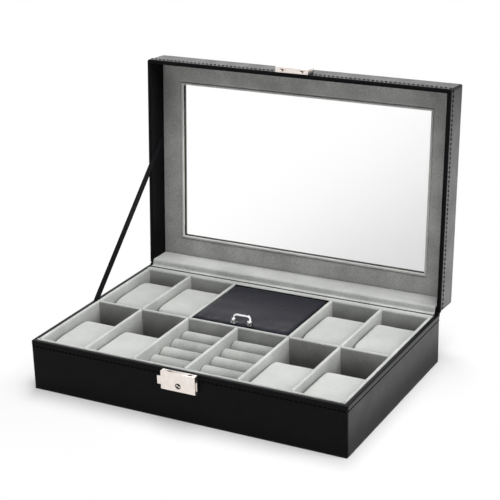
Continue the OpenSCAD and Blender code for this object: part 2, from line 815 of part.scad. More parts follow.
module catch_hooks() {
    i = lock_width / 2 - lock_sheet - 0.05;
    y0 = bar_front + 0.1;
    y1 = bar_back - 0.1;
    color(nickel) opened() {
        block([-i, -hy - lock_sheet, zr + lock_sheet + 0.05], [i, -hy, zr + catch_height - lock_sheet - 0.05]);
        for (s = [-1, 1]) {
            block([s * hook_at - stem, y0, hook_low], [s * hook_at + stem, y1, zr + 5]);
            block([s * hook_at - stem, y0, zr + 3.6], [s * hook_at + stem, -hy - lock_sheet / 2, zr + 5]);
            block([s * hook_at, y0, hook_low], [s * hook_at + stem + barb, y1, hook_low + 2]);
            translate([s * catch_rivet_at, -hy - lock_sheet - rivet_head_high, catch_rivet_z]) rotate([-90, 0, 0]) {
                cylinder(r = rivet_head, h = rivet_head_high + 0.1);
                cylinder(r = rivet, h = rivet_length - 1);
            }
        }
    }
}

base_front_board();
base_rear_board();
base_left_board();
base_right_board();
base_bottom_board();
base_cover();
underside_felt();
floor_lining();
lining_front();
lining_rear();
lining_left();
lining_right();
rear_ledge();
long_divider();
cross_divider_1();
cross_divider_2();
cross_divider_3();
cross_divider_4();
ring_divider();
ring_rolls_left();
ring_rolls_right();
compartment_rests();
pillow_front_1();
pillow_front_2();
pillow_front_3();
pillow_front_4();
pillow_back_1();
pillow_back_2();
pillow_back_3();
pillow_back_4();
compartment_lid_board();
compartment_lid_cover();
compartment_lid_piping();
handle_feet();
handle_bail();
lid_front_board();
lid_rear_board();
lid_left_board();
lid_right_board();
lid_top_board();
lid_cover();
lid_inner_lining();
lid_glass();
lid_panel();
hinge_base_leaves();
hinge_lid_leaves();
hinge_pins();
hinge_base_screws();
hinge_lid_screws();
hinge_flap();
stay_ribbon();
lock_backplate();
lock_cover();
lock_slide();
lock_spring();
lock_key_cylinder();
lock_rivets();
catch_cover();
catch_hooks();
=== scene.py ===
import json
import math

import bmesh
import bpy
from mathutils import Matrix, Vector, noise
from mathutils.bvhtree import BVHTree


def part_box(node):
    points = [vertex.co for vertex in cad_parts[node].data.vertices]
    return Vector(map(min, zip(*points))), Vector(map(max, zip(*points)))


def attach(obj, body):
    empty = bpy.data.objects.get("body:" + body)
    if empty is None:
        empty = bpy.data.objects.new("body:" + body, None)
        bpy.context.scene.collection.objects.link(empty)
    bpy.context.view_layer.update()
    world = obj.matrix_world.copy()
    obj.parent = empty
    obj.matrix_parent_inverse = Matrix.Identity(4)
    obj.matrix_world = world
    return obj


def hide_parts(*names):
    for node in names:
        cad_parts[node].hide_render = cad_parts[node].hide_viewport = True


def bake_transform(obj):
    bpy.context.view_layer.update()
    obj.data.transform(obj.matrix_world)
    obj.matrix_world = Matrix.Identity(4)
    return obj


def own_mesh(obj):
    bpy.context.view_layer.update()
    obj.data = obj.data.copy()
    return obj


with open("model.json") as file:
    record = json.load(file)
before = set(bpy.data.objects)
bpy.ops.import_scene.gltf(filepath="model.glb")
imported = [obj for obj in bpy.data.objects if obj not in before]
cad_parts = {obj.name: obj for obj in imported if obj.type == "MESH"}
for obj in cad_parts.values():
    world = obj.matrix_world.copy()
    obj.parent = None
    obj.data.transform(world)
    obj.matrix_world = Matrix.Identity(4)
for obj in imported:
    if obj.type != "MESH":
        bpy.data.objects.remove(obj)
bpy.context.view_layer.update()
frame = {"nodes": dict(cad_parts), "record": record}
nodes = frame["nodes"]
mm = 0.001
print("frame loaded,", len(nodes), "nodes")

# the case: outer half width and depth, wall, heights of rims and tray, and the lid's hinge, all in mm
case = {"halfWidth": 150, "halfDepth": 100, "wall": 4, "corner": 2, "rim": 46, "trayFloor": 5.2,
        "trayTop": 46.6, "lidRim": 46.4, "lidTop": 75, "axisY": 100.8, "axisZ": 46.2, "openDegrees": 93.7}
openTurn = (Matrix.Translation((0, case["axisY"] * mm, case["axisZ"] * mm))
            @ Matrix.Rotation(math.radians(-case["openDegrees"]), 4, "X")
            @ Matrix.Translation((0, -case["axisY"] * mm, -case["axisZ"] * mm)))


def placed(name, data):
    made = bpy.data.objects.new(name, data)
    bpy.context.scene.collection.objects.link(made)
    return made


# camera
camera = {"azimuth": 29.483, "elevation": 21.45, "roll": -1.959,
          "place": (0.569857, -1.044092, 0.5678), "lens": 106.63, "shift": (0.07, 0.04)}


def makeCamera():
    az, el, roll = (math.radians(camera[k]) for k in ("azimuth", "elevation", "roll"))
    ahead = Vector((-math.sin(az) * math.cos(el), math.cos(az) * math.cos(el), -math.sin(el)))
    side = Vector((math.cos(az), math.sin(az), 0))
    up = side.cross(ahead)
    turnedSide = math.cos(roll) * side + math.sin(roll) * up
    turnedUp = -math.sin(roll) * side + math.cos(roll) * up
    data = bpy.data.cameras.new("camera")
    data.lens = camera["lens"]
    data.sensor_width = 36
    data.shift_x, data.shift_y = camera["shift"]
    data.clip_start, data.clip_end = 0.01, 50
    shot = placed("camera", data)
    rows = zip(turnedSide, turnedUp, -ahead, camera["place"])
    shot.matrix_world = Matrix([*rows, (0, 0, 0, 1)])
    bpy.context.scene.camera = shot


makeCamera()
bpy.context.scene.view_settings.view_transform = "Standard"


# node trees
def operator(operation, swapped=False):
    # one of python's operators, or a plain method, as a Math node
    def act(self, other=0.0):
        first, second = (other, self) if swapped else (self, other)
        return self.maths(operation, first, second)
    return act


class Value:
    # a socket that turns python maths into Math nodes
    def __init__(self, tree, socket):
        self.tree, self.socket = tree, socket

    def maths(self, operation, first, second):
        node = self.tree.nodes.new("ShaderNodeMath")
        node.operation = operation
        for entry, item in zip(node.inputs, (first, second)):
            if isinstance(item, Value):
                self.tree.links.new(item.socket, entry)
            else:
                entry.default_value = item
        return Value(self.tree, node.outputs[0])

    __add__, __radd__ = operator("ADD"), operator("ADD", swapped=True)
    __sub__, __rsub__ = operator("SUBTRACT"), operator("SUBTRACT", swapped=True)
    __mul__, __rmul__ = operator("MULTIPLY"), operator("MULTIPLY", swapped=True)
    __pow__ = operator("POWER")
    size, sine = operator("ABSOLUTE"), operator("SINE")
    atMost, atLeast = operator("MINIMUM"), operator("MAXIMUM")


class Wiring:
    # adds any node: its settings first, then the values or links of its sockets
    def __init__(self, tree):
        self.tree = tree

    def add(self, kind, settings=None, sockets=None, out=0):
        node = self.tree.nodes.new(kind)
        for name, setting in (settings or {}).items():
            setattr(node, name, setting)
        for name, item in (sockets or {}).items():
            if isinstance(item, Value):
                self.tree.links.new(item.socket, node.inputs[name])
            else:
                node.inputs[name].default_value = item
        return Value(self.tree, node.outputs[out])

    def noise(self, where, scale, detail=2.0, rough=0.5):
        return self.add("ShaderNodeTexNoise", {"noise_dimensions": "3D"},
                        {"Vector": where, "Scale": scale, "Detail": detail, "Roughness": rough})

    def cells(self, where, scale, feature="F1"):
        return self.add("ShaderNodeTexVoronoi", {"feature": feature},
                        {"Vector": where, "Scale": scale, "Randomness": 1.0})

    def mix(self, factor, first, second, blend="MIX"):
        return self.add("ShaderNodeMix", {"data_type": "RGBA", "blend_type": blend},
                        {0: factor, 6: first, 7: second}, out=2)

    def step(self, value, low, high):
        return self.add("ShaderNodeMapRange", {"interpolation_type": "SMOOTHSTEP"},
                        {"Value": value, "From Min": low, "From Max": high, "To Min": 0.0, "To Max": 1.0})

    def bump(self, height, distance, strength=1.0, under=None):
        # under is the normal that this relief lies on
        sockets = {"Height": height, "Distance": distance, "Strength": strength}
        if under:
            sockets["Normal"] = under
        return self.add("ShaderNodeBump", None, sockets)

    def axes(self, where):
        # the three numbers of a vector
        parts = self.tree.nodes.new("ShaderNodeSeparateXYZ")
        self.tree.links.new(where.socket, parts.inputs[0])
        return [Value(self.tree, output) for output in parts.outputs]

    def seenRay(self):
        # 1 for what the camera, metal and glass see, 0 for light on its way to a surface
        path = self.tree.nodes.new("ShaderNodeLightPath")
        viewed, glossy, through = (Value(self.tree, path.outputs[ray])
                                   for ray in ("Is Camera Ray", "Is Glossy Ray", "Is Transmission Ray"))
        return (viewed + glossy + through).atMost(1.0)


def rgb(red, green, blue):
    return (red, green, blue, 1.0)


class Finish:
    # a material with one Principled shader, whose constants sit on its own sockets
    def __init__(self, name, **constants):
        self.material = bpy.data.materials.new(name)
        self.material.use_nodes = True
        self.tree = self.material.node_tree
        self.tree.nodes.clear()
        self.wiring = Wiring(self.tree)
        self.shader = self.tree.nodes.new("ShaderNodeBsdfPrincipled")
        self.output = self.tree.nodes.new("ShaderNodeOutputMaterial")
        self.tree.links.new(self.shader.outputs[0], self.output.inputs["Surface"])
        for key, value in constants.items():
            self.shader.inputs[key.replace("_", " ")].default_value = value
        self.where = self.wiring.add("ShaderNodeTexCoord", out=3)

    def feed(self, **links):
        for key, value in links.items():
            self.tree.links.new(value.socket, self.shader.inputs[key.replace("_", " ")])
        return self.material


# black embossed leatherette: small closed cells, finer than a millimetre, on a board with faint swells
leather = {"cell": 1500, "fine": 5200, "drift": 60, "swell": 26, "swellDepth": 0.0006}


def makeLeather(name, colour, light, rough, specular, depth):
    skin = Finish(name, Specular_IOR_Level=specular)
    w = skin.wiring
    drift = w.noise(skin.where, leather["drift"], 3)
    cells = w.cells(skin.where, leather["cell"], "SMOOTH_F1")
    fine = w.noise(skin.where, leather["fine"], 2)
    swell = w.bump(w.noise(skin.where, leather["swell"], 2), leather["swellDepth"], 0.25)
    tone = w.mix(w.step(cells * 0.6 + drift * 0.6, 0.35, 0.85), rgb(*colour), rgb(*light))
    sheen = rough + (drift - 0.5) * 0.16 + (fine - 0.5) * 0.08
    return skin.feed(Base_Color=tone, Roughness=sheen,
                     Normal=w.bump((1.0 - cells) * 0.8 + fine * 0.35, depth, 0.7, swell))


leatherette = makeLeather("leatherette", colour=(0.0015, 0.0015, 0.002), light=(0.0045, 0.0045, 0.0055),
                          rough=0.38, specular=0.07, depth=0.00004)
softLeather = makeLeather("soft_leatherette", colour=(0.005, 0.005, 0.010), light=(0.010, 0.010, 0.018),
                          rough=0.30, specular=0.085, depth=0.00002)
liningPaper = makeLeather("black_lining_paper", colour=(0.002, 0.002, 0.0025), light=(0.005, 0.005, 0.006),
                          rough=0.62, specular=0.06, depth=0.00002)

# short pile velvet, mottled by the lie of the pile
velvet = {"pile": 4200, "patch": 34, "ragged": 0.006}


# the last three arguments set a painted shade that darkens the colour towards the bottom
def makeVelvet(name, colour, shade, sheen, depth, speckled=1500, dullAndPaintedShade=None, paintedShadeUpTo=0.008, paintedShadeEndsAt=0.045):
    cloth = Finish(name, Roughness=1.0, Specular_IOR_Level=0.05, Sheen_Weight=sheen, Sheen_Roughness=0.5)
    w = cloth.wiring
    pile = w.noise(cloth.where, velvet["pile"], 2, 0.6)
    speckle = w.noise(cloth.where, speckled, 5, 0.72)
    patch = w.noise(cloth.where, velvet["patch"], 3, 0.55)
    tone = w.mix(w.step(speckle * 0.65 + patch * 0.35, 0.36, 0.64), rgb(*shade), rgb(*colour))
    if dullAndPaintedShade:
        # painted shade: the colour is darkened towards the bottom of the compartments and is full at the rims
        height = w.axes(cloth.where)[2] + (patch - 0.5) * velvet["ragged"]
        paintedShade = w.mix(w.step(height, paintedShadeUpTo, paintedShadeEndsAt), rgb(dullAndPaintedShade, dullAndPaintedShade, dullAndPaintedShade * 0.97), rgb(1, 1, 1))
        tone = w.mix(1.0, tone, paintedShade, "MULTIPLY")
    return cloth.feed(Base_Color=tone, Normal=w.bump(pile * 0.6 + speckle * 0.5, depth, 0.8))


# the tray, roll and pillow velvets carry painted shade that darkens them towards the bottom of the tray
trayVelvet = makeVelvet("velvet", colour=(0.66, 0.67, 0.65), shade=(0.47, 0.48, 0.465), sheen=0.45,
                        depth=0.00018, speckled=1000, dullAndPaintedShade=0.22, paintedShadeUpTo=0.016, paintedShadeEndsAt=0.052)
# the rolls' velvet is a darker copy of the tray's velvet, painted shade
rollVelvetPaintedShade = makeVelvet("roll_velvet_painted_shade", colour=(0.56, 0.57, 0.55), shade=(0.37, 0.38, 0.365), sheen=0.35,
                        depth=0.00018, speckled=1000, dullAndPaintedShade=0.12, paintedShadeUpTo=0.022, paintedShadeEndsAt=0.042)
pillowVelvet = makeVelvet("pillow_velvet", colour=(0.61, 0.62, 0.60), shade=(0.49, 0.50, 0.485), sheen=0.35,
                          depth=0.00014, speckled=1200, dullAndPaintedShade=0.4, paintedShadeEndsAt=0.040)
panelVelvet = makeVelvet("panel_velvet", colour=(0.67, 0.675, 0.655), shade=(0.38, 0.385, 0.375), sheen=0.3,
                         depth=0.00022, speckled=900)
# the lip's velvet is a lighter copy of the panel's, a painted highlight along the lip
lipVelvetPaintedHighlight = makeVelvet("lip_velvet_painted_highlight", colour=(0.84, 0.845, 0.82), shade=(0.62, 0.625, 0.605), sheen=0.4,
                       depth=0.00018)
# the seams' darker velvet is painted shade along the pillows' seams
seamVelvetPaintedShade = makeVelvet("seam_velvet_painted_shade", colour=(0.30, 0.305, 0.30), shade=(0.16, 0.165, 0.16), sheen=0.1,
                        depth=0.0001)

# plated and plain metal: its grain is a noise stretched by its three scales, and clouds dull it a little
metal = {"clouds": 240, "cloudFrom": 0.25, "cloudTo": 0.8}


def makeMetal(name, colour, dullAndPaintedShade, rough, grain, depth):
    plate = Finish(name, Metallic=1.0)
    w = plate.wiring
    brushed = w.add("ShaderNodeMapping", None, {"Vector": plate.where, "Scale": grain})
    lines = w.noise(brushed, 1.0, 3, 0.6)
    clouds = w.noise(plate.where, metal["clouds"], 3)
    tone = w.mix(w.step(clouds, metal["cloudFrom"], metal["cloudTo"]), rgb(*dullAndPaintedShade), rgb(*colour))
    return plate.feed(Base_Color=tone, Roughness=rough + (lines - 0.5) * rough * 0.5 + (clouds - 0.5) * 0.06,
                      Normal=w.bump(lines, depth, 0.5))


nickel = makeMetal("nickel", colour=(0.87, 0.80, 0.755), dullAndPaintedShade=(0.78, 0.71, 0.66), rough=0.32,
                   grain=(300, 300, 2600), depth=0.00001)
chrome = makeMetal("chrome", colour=(0.94, 0.94, 0.95), dullAndPaintedShade=(0.82, 0.82, 0.83), rough=0.06,
                   grain=(900, 900, 900), depth=0.000004)
# the handle's feet: chrome mottled near black, painted dark reflections
chromePaintedDark = makeMetal("chrome_painted_dark_reflections", colour=(0.80, 0.80, 0.81), dullAndPaintedShade=(0.05, 0.05, 0.05), rough=0.08,
                       grain=(900, 900, 900), depth=0.000004)
steel = makeMetal("steel", colour=(0.62, 0.62, 0.63), dullAndPaintedShade=(0.46, 0.46, 0.47), rough=0.36,
                  grain=(200, 2600, 2600), depth=0.00001)
darkSteel = makeMetal("darkened_steel", colour=(0.035, 0.034, 0.033), dullAndPaintedShade=(0.015, 0.015, 0.015), rough=0.45,
                      grain=(900, 900, 900), depth=0.00001)

# the slide is plated where it shows beside the lock's cover; inside the cover it is painted near black, a
# painted shade for the dark slots in the lock's top
slideShadePaint = {"shadedTo": 0.0150, "unshadedFrom": 0.0156, "rough": 0.3}


def makeSlideMetalPaintedShade():
    plate = Finish("slide_metal_painted_shade", Metallic=1.0)
    w = plate.wiring
    # painted shade: near black where the slide lies inside the cover
    inside = 1.0 - w.step(w.axes(plate.where)[0].size(), slideShadePaint["shadedTo"], slideShadePaint["unshadedFrom"])
    clouds = w.noise(plate.where, metal["clouds"], 3)
    plated = w.mix(clouds, rgb(0.80, 0.73, 0.68), rgb(0.88, 0.81, 0.76))
    return plate.feed(Base_Color=w.mix(inside, plated, rgb(0.02, 0.019, 0.018)),
                      Roughness=slideShadePaint["rough"] + clouds * 0.12)


def makeFelt():
    felt = Finish("felt", Roughness=1.0, Specular_IOR_Level=0.1, Sheen_Weight=0.2)
    w = felt.wiring
    fibre = w.noise(felt.where, 2600, 4, 0.7)
    clump = w.noise(felt.where, 260, 3)
    colour = w.mix(w.step(clump, 0.3, 0.7), rgb(0.012, 0.012, 0.013), rgb(0.03, 0.03, 0.032))
    return felt.feed(Base_Color=colour, Normal=w.bump(fibre, 0.0002))


def makeBoard():
    wood = Finish("fibreboard", Roughness=0.85)
    w = wood.wiring
    chips = w.cells(wood.where, 900)
    dust = w.noise(wood.where, 2400, 3)
    return wood.feed(Base_Color=w.mix(chips * 0.6 + dust * 0.4, rgb(0.30, 0.21, 0.13), rgb(0.52, 0.40, 0.27)),
                     Normal=w.bump(dust, 0.0001, 0.6))


def makeThread():
    thread = Finish("thread", Roughness=1.0, Specular_IOR_Level=0.02)
    w = thread.wiring
    strands = w.noise(thread.where, 4200, 2)
    return thread.feed(Base_Color=w.mix(strands, rgb(0.0015, 0.0015, 0.0018), rgb(0.006, 0.006, 0.007)),
                       Normal=w.bump(strands, 0.00006))


# woven ribbon: ribs and threads in radians per metre of its own map, and a flat edge beside its middle
weaving = {"ribs": 9000.0, "threads": 12000.0, "middle": 0.004, "edgeFrom": 0.0030, "edgeTo": 0.0038}


def makeRibbon():
    woven = Finish("ribbon", Specular_IOR_Level=0.04)
    w = woven.wiring
    across, along, _ = w.axes(w.add("ShaderNodeTexCoord", out=2))
    weave = (along * weaving["ribs"]).sine() * 0.5 + (across * weaving["threads"]).sine() * 0.2 + 0.6
    edge = w.step((across - weaving["middle"]).size(), weaving["edgeFrom"], weaving["edgeTo"])
    return woven.feed(Base_Color=w.mix(weave, rgb(0.003, 0.003, 0.0035), rgb(0.012, 0.012, 0.014)),
                      Roughness=0.55 + edge * 0.2, Normal=w.bump(weave - edge * 0.5, 0.00012, 0.8))


# clear sheet with a painted grey reflection that grows towards one corner
reflectionPaint = {"slope": 0.75, "offset": 0.155, "from": -0.02, "to": 0.19, "strength": 0.19}


def makeGlass():
    pane = Finish("glass", Specular_IOR_Level=0.5, IOR=1.45)
    w = pane.wiring
    across, _, up = w.axes(pane.where)
    smear = w.noise(pane.where, 14, 3)
    paintedReflection = w.step(across * reflectionPaint["slope"] - up + reflectionPaint["offset"], reflectionPaint["from"], reflectionPaint["to"])
    return pane.feed(Base_Color=w.mix(paintedReflection, rgb(0.80, 0.83, 0.82), rgb(0.26, 0.265, 0.27)),
                     Roughness=0.02 + smear * 0.03, Alpha=paintedReflection * reflectionPaint["strength"])


felt, board, thread, ribbonCloth, glass = makeFelt(), makeBoard(), makeThread(), makeRibbon(), makeGlass()
print("materials made")


# making meshes
def smoothed(mesh, degrees):
    mesh.shade_smooth()
    mesh.set_sharp_from_angle(angle=math.radians(degrees))


def facedOutwards(mesh, merge=0.0):
    shape = bmesh.new()
    shape.from_mesh(mesh)
    if merge:
        bmesh.ops.remove_doubles(shape, verts=shape.verts, dist=merge)
    bmesh.ops.recalc_face_normals(shape, faces=shape.faces)
    shape.to_mesh(mesh)
    shape.free()


def flatMesh(name, points, faces, smooth=35.0):
    mesh = bpy.data.meshes.new(name)
    mesh.from_pydata([Vector(p) * mm for p in points], [], faces)
    facedOutwards(mesh, merge=1e-6)
    smoothed(mesh, smooth)
    return mesh


def dressed(made, material, body, slot, stands=()):
    # gives a piece its material, the body it moves with, and the nodes it stands for
    made.data.materials.clear()
    made.data.materials.append(material)
    if body:
        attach(made, body)
    if stands:
        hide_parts(*stands)
    return made


def piece(name, mesh, material, body, slot, stands=(), turned=False):
    if turned:
        mesh.transform(openTurn)
    return dressed(placed(name, mesh), material, body, slot, stands)


def applied(made):
    # the object's modifiers become its mesh
    bpy.context.view_layer.update()
    done = bpy.data.meshes.new_from_object(made.evaluated_get(bpy.context.evaluated_depsgraph_get()))
    made.modifiers.clear()
    old, made.data = made.data, done
    bpy.data.meshes.remove(old)
    return made


def band(row, after):
    # the faces between two closed rows of points
    count = len(row)
    return [(row[k], row[(k + 1) % count], after[(k + 1) % count], after[k]) for k in range(count)]


# points to each quarter turn of a corner, and how far beyond it the points that keep the straights flat stand
cornering = {"points": 7, "hold": 1.5}


def roundedLoop(halfX, halfY, radius, z):
    loop, count, hold = [], cornering["points"], cornering["hold"]
    for cx, cy, start in ((1, -1, 270), (1, 1, 0), (-1, 1, 90), (-1, -1, 180)):
        arc = []
        for i in range(count):
            a = math.radians(start + 90 * i / (count - 1))
            arc.append(Vector((cx * (halfX - radius) + radius * math.cos(a),
                               cy * (halfY - radius) + radius * math.sin(a), z)))
        before, after = math.radians(start - 90), math.radians(start + 180)
        loop.append(arc[0] + hold * Vector((math.cos(before), math.sin(before), 0)))
        loop += arc
        loop.append(arc[-1] + hold * Vector((math.cos(after), math.sin(after), 0)))
    return loop


def framed(name, profile, corner, least, smooth=40.0):
    # a closed section carried round the case: (distance inwards, height) pairs
    points, faces = [], []
    for inwards, height in profile:
        points += roundedLoop(case["halfWidth"] - inwards, case["halfDepth"] - inwards,
                              max(corner - inwards, least), height)
    count = len(points) // len(profile)
    rows = [range(r * count, (r + 1) * count) for r in range(len(profile))]
    for row, after in zip(rows, rows[1:] + rows[:1]):
        faces += band(row, after)
    return flatMesh(name, points, faces, smooth)


def extruded(name, section, along, stations, shift=None, smooth=50.0):
    # a closed section carried along x or y, and shift may move a point at its station
    points, faces, count = [], [], len(section)
    for s in stations:
        for a, b in section:
            p = (s, a, b) if along == "x" else (a, s, b)
            points.append(shift(p) if shift else p)
    rows = [range(s * count, (s + 1) * count) for s in range(len(stations))]
    for row, after in zip(rows, rows[1:]):
        faces += band(row, after)
    faces += [tuple(rows[0]), tuple(rows[-1])]
    return flatMesh(name, points, faces, smooth)


def joined(name, meshes):
    # several meshes as one
    whole = bmesh.new()
    for part in meshes:
        whole.from_mesh(part)
    mesh = bpy.data.meshes.new(name)
    whole.to_mesh(mesh)
    whole.free()
    smoothed(mesh, 50)
    return mesh


def spaced(low, high, pitch):
    count = max(2, round((high - low) / pitch))
    return [low + (high - low) * i / count for i in range(count + 1)]


def share(*values):
    # the least of some values, kept between 0 and 1
    return max(0.0, min(1.0, *values))


def heading(line, i):
    # the way that a line runs at one of its points
    return (line[min(i + 1, len(line) - 1)] - line[max(i - 1, 0)]).normalized()


def stripSection(line, thick):
    # a line and its copy one thickness below, as a closed section
    under = []
    for i, p in enumerate(line):
        ahead = heading(line, i)
        under.append(p - Vector((-ahead.y, ahead.x)) * thick)
    return [tuple(p) for p in line] + [tuple(p) for p in reversed(under)]


# hard pieces keep their CAD shape, with a small round on every edge
softEdge = {"merge": 2e-6, "flat": 0.6, "sharp": 30, "steps": 2}


def softenedCopy(node, material, body, slot, edge):
    mesh = nodes[node].data.copy()
    shape = bmesh.new()
    shape.from_mesh(mesh)
    bmesh.ops.remove_doubles(shape, verts=shape.verts, dist=softEdge["merge"])
    bmesh.ops.dissolve_limit(shape, angle_limit=math.radians(softEdge["flat"]), verts=shape.verts,
                             edges=shape.edges)
    shape.to_mesh(mesh)
    shape.free()
    made = placed(node + "_finished", mesh)
    if edge:
        bevel = made.modifiers.new("edges", "BEVEL")
        bevel.width, bevel.segments = edge * mm, softEdge["steps"]
        bevel.limit_method, bevel.angle_limit = "ANGLE", math.radians(softEdge["sharp"])
        bevel.use_clamp_overlap = True
        applied(made)
    smoothed(made.data, softEdge["sharp"] + 5)
    dressed(made, material, body, slot, [node])


hardPieces = (("lock_cover", nickel, "base", "nickel", 0.22),
              ("lock_slide", makeSlideMetalPaintedShade(), "slide", "nickel", 0.15),
              ("lock_key_cylinder", darkSteel, "key", "nickel", 0.0),
              ("catch_cover", nickel, "lid", "nickel", 0.22),
              ("catch_hooks", nickel, "lid", "nickel", 0.12),
              ("handle_feet", chromePaintedDark, "compartment_lid", "chrome", 0.12),
              ("handle_bail", chrome, "bail", "chrome", 0.0),
              ("hinge_base_leaves", steel, "base", "steel", 0.1),
              ("hinge_lid_leaves", steel, "lid", "steel", 0.1))
for node, material, body, slot, edge in hardPieces:
    softenedCopy(node, material, body, slot, edge)

# the nodes that no piece replaces are shown as they are
plain = {"board": board, "leatherette": leatherette, "felt": felt, "velvet": trayVelvet,
         "velvet_panel": panelVelvet, "velvet_pillow": pillowVelvet, "ribbon": ribbonCloth, "glass": glass,
         "nickel": nickel, "chrome": chrome, "steel": steel}
for entry in frame["record"]["subparts"]:
    data = nodes[entry["node"]].data
    data.materials.clear()
    data.materials.append(plain[entry["material_slot"]])
for node in ("lid_inner_lining", "compartment_lid_board"):
    nodes[node].data.materials[0] = liningPaper
for node in ("lock_backplate", "lock_spring", "lock_rivets"):
    nodes[node].data.materials[0] = darkSteel

# the key way: a waisted bright bar across the dark plug
keyBar = {"half": 1.7, "end": 1.0, "waist": 0.3, "front": -104.75, "back": -104.3, "z": 34.6, "tilt": 28}


def makeKeyBar():
    k, turn = keyBar, math.radians(keyBar["tilt"])
    half, end, waist = k["half"], k["end"], k["waist"]
    upper = [(-half, end), (-waist, waist), (waist, waist), (half, end)]
    outline = upper + [(x, -h) for x, h in reversed(upper)]
    section = [(x * math.cos(turn) + z * math.sin(turn), k["z"] + z * math.cos(turn) - x * math.sin(turn))
               for x, z in outline]
    bar = extruded("key_way_bar", section, "y", [k["front"], k["back"]])
    piece("key_way_bar", bar, nickel, "key", "nickel")


makeKeyBar()
print("hard pieces finished")


# room for a hinge's leaves and its barrel in the leatherette at the back
hingeRoom = {"at": 90, "half": 15.2, "front": 96.7, "back": 102, "barrelHalf": 15.3, "barrel": 1.9,
             "steps": 32}


def blockMesh(low, high):
    (x0, y0, z0), (x1, y1, z1) = low, high
    points = [(x, y, z) for x in (x0, x1) for y in (y0, y1) for z in (z0, z1)]
    faces = [(0, 1, 3, 2), (4, 6, 7, 5), (0, 4, 5, 1), (2, 3, 7, 6), (0, 2, 6, 4), (1, 5, 7, 3)]
    return flatMesh("block", points, faces)


def barrelMesh(x0, x1, radius):
    # a cylinder on the lid's axis
    turns = [2 * math.pi * i / hingeRoom["steps"] for i in range(hingeRoom["steps"])]
    section = [(case["axisY"] + radius * math.cos(a), case["axisZ"] + radius * math.sin(a)) for a in turns]
    return extruded("barrel", section, "x", [x0, x1])


def hingeRooms(low, high):
    r, rooms = hingeRoom, []
    for at in (-r["at"], r["at"]):
        rooms.append(blockMesh((at - r["half"], r["front"], low), (at + r["half"], r["back"], high)))
        rooms.append(barrelMesh(at - r["barrelHalf"], at + r["barrelHalf"], r["barrel"]))
    return rooms


def carved(made, rooms):
    # cuts each room out of the piece
    tools = []
    for room in rooms:
        tool = placed("room", room)
        cut = made.modifiers.new("room", "BOOLEAN")
        cut.operation, cut.object, cut.solver = "DIFFERENCE", tool, "EXACT"
        tools.append(tool)
    applied(made)
    for tool in tools:
        bpy.data.objects.remove(tool)


def makeSkin(name, profile, least, rooms, body, stands, turned):
    made = placed(name, framed(name, profile, case["corner"], least))
    carved(made, rooms)
    if turned:
        made.data.transform(openTurn)
    smoothed(made.data, 40)
    dressed(made, leatherette, body, "leatherette", stands)


# leatherette covers: each has a raised band along the rim, and a groove where the seam draws it in
baseSkin = {"band": 41.1, "inset": 0.14, "groove": 0.38, "innerDepth": 30, "least": 0.5, "rooms": (45.2, 48)}
lidSkin = {"seam": 51.4, "inset": 0.12, "groove": 0.30, "window": 26, "windowDepth": 71.8, "least": 0.7,
           "rooms": (45, 47.2)}


def makeBaseSkin():
    s, z, wall = baseSkin, case["rim"], case["wall"]
    d, g, b, deep = s["inset"], s["groove"], s["band"], s["innerDepth"]
    profile = [(d + 0.8, 1.0), (d + 0.3, 1.12), (d + 0.05, 1.5), (d, 2.2), (d, 2.9), (d, b - 1.1),
               (d, b - 0.5), (d + 0.06, b - 0.28), (g, b - 0.1), (g, b + 0.1), (0.05, b + 0.3), (0, b + 0.6),
               (0, z - 1.0), (0.07, z - 0.62), (0.26, z - 0.28), (0.6, z - 0.07), (1.0, z), (3.3, z),
               (3.7, z - 0.1), (3.93, z - 0.4), (wall, z - 0.9), (wall, z - 1.5), (wall, deep), (3.4, deep),
               (3.4, z - 1), (1.1, z - 1), (1.1, 1.0)]
    makeSkin("base_leather", profile, s["least"], hingeRooms(*s["rooms"]), "base", ["base_cover"],
             turned=False)


def makeLidSkin():
    s, z0, z1 = lidSkin, case["lidRim"], case["lidTop"]
    d, g, b, w, deep = s["inset"], s["groove"], s["seam"], s["window"], s["windowDepth"]
    profile = [(3.2, z0 + 0.9), (3.17, z0 + 0.4), (2.95, z0 + 0.1), (2.55, z0), (0.9, z0), (0.45, z0 + 0.1),
               (0.12, z0 + 0.4), (0, z0 + 0.9), (0, z0 + 1.4), (0, b - 0.9), (0, b - 0.45), (0.05, b - 0.25),
               (g, b), (0.08 + d, b + 0.25), (d, b + 0.5), (d, b + 1.1), (d, z1 - 2.2), (d, z1 - 1.6),
               (d + 0.12, z1 - 0.9), (d + 0.45, z1 - 0.35), (d + 0.95, z1 - 0.06), (d + 1.5, z1),
               (d + 2.1, z1), (w - 1.9, z1), (w - 1.3, z1), (w - 0.6, z1 - 0.1), (w - 0.15, z1 - 0.45),
               (w, z1 - 1.0), (w, deep), (w - 0.8, deep), (w - 0.8, z1 - 1.2), (1.2, z1 - 1.2),
               (1.2, z0 + 0.9)]
    makeSkin("lid_leather", profile, s["least"], hingeRooms(*s["rooms"]), "lid", ["lid_cover"], turned=True)


makeBaseSkin()
makeLidSkin()
print("leather covers made")


# stitches, one sewn stitch set along a path; base and lid say how far inside the case's side the thread lies
stitch = {"pitch": 4.1, "length": 3.3, "thickness": 2.2, "cornerGap": 2.2, "lockGap": 17.5, "base": 0.62,
          "lid": 0.5}


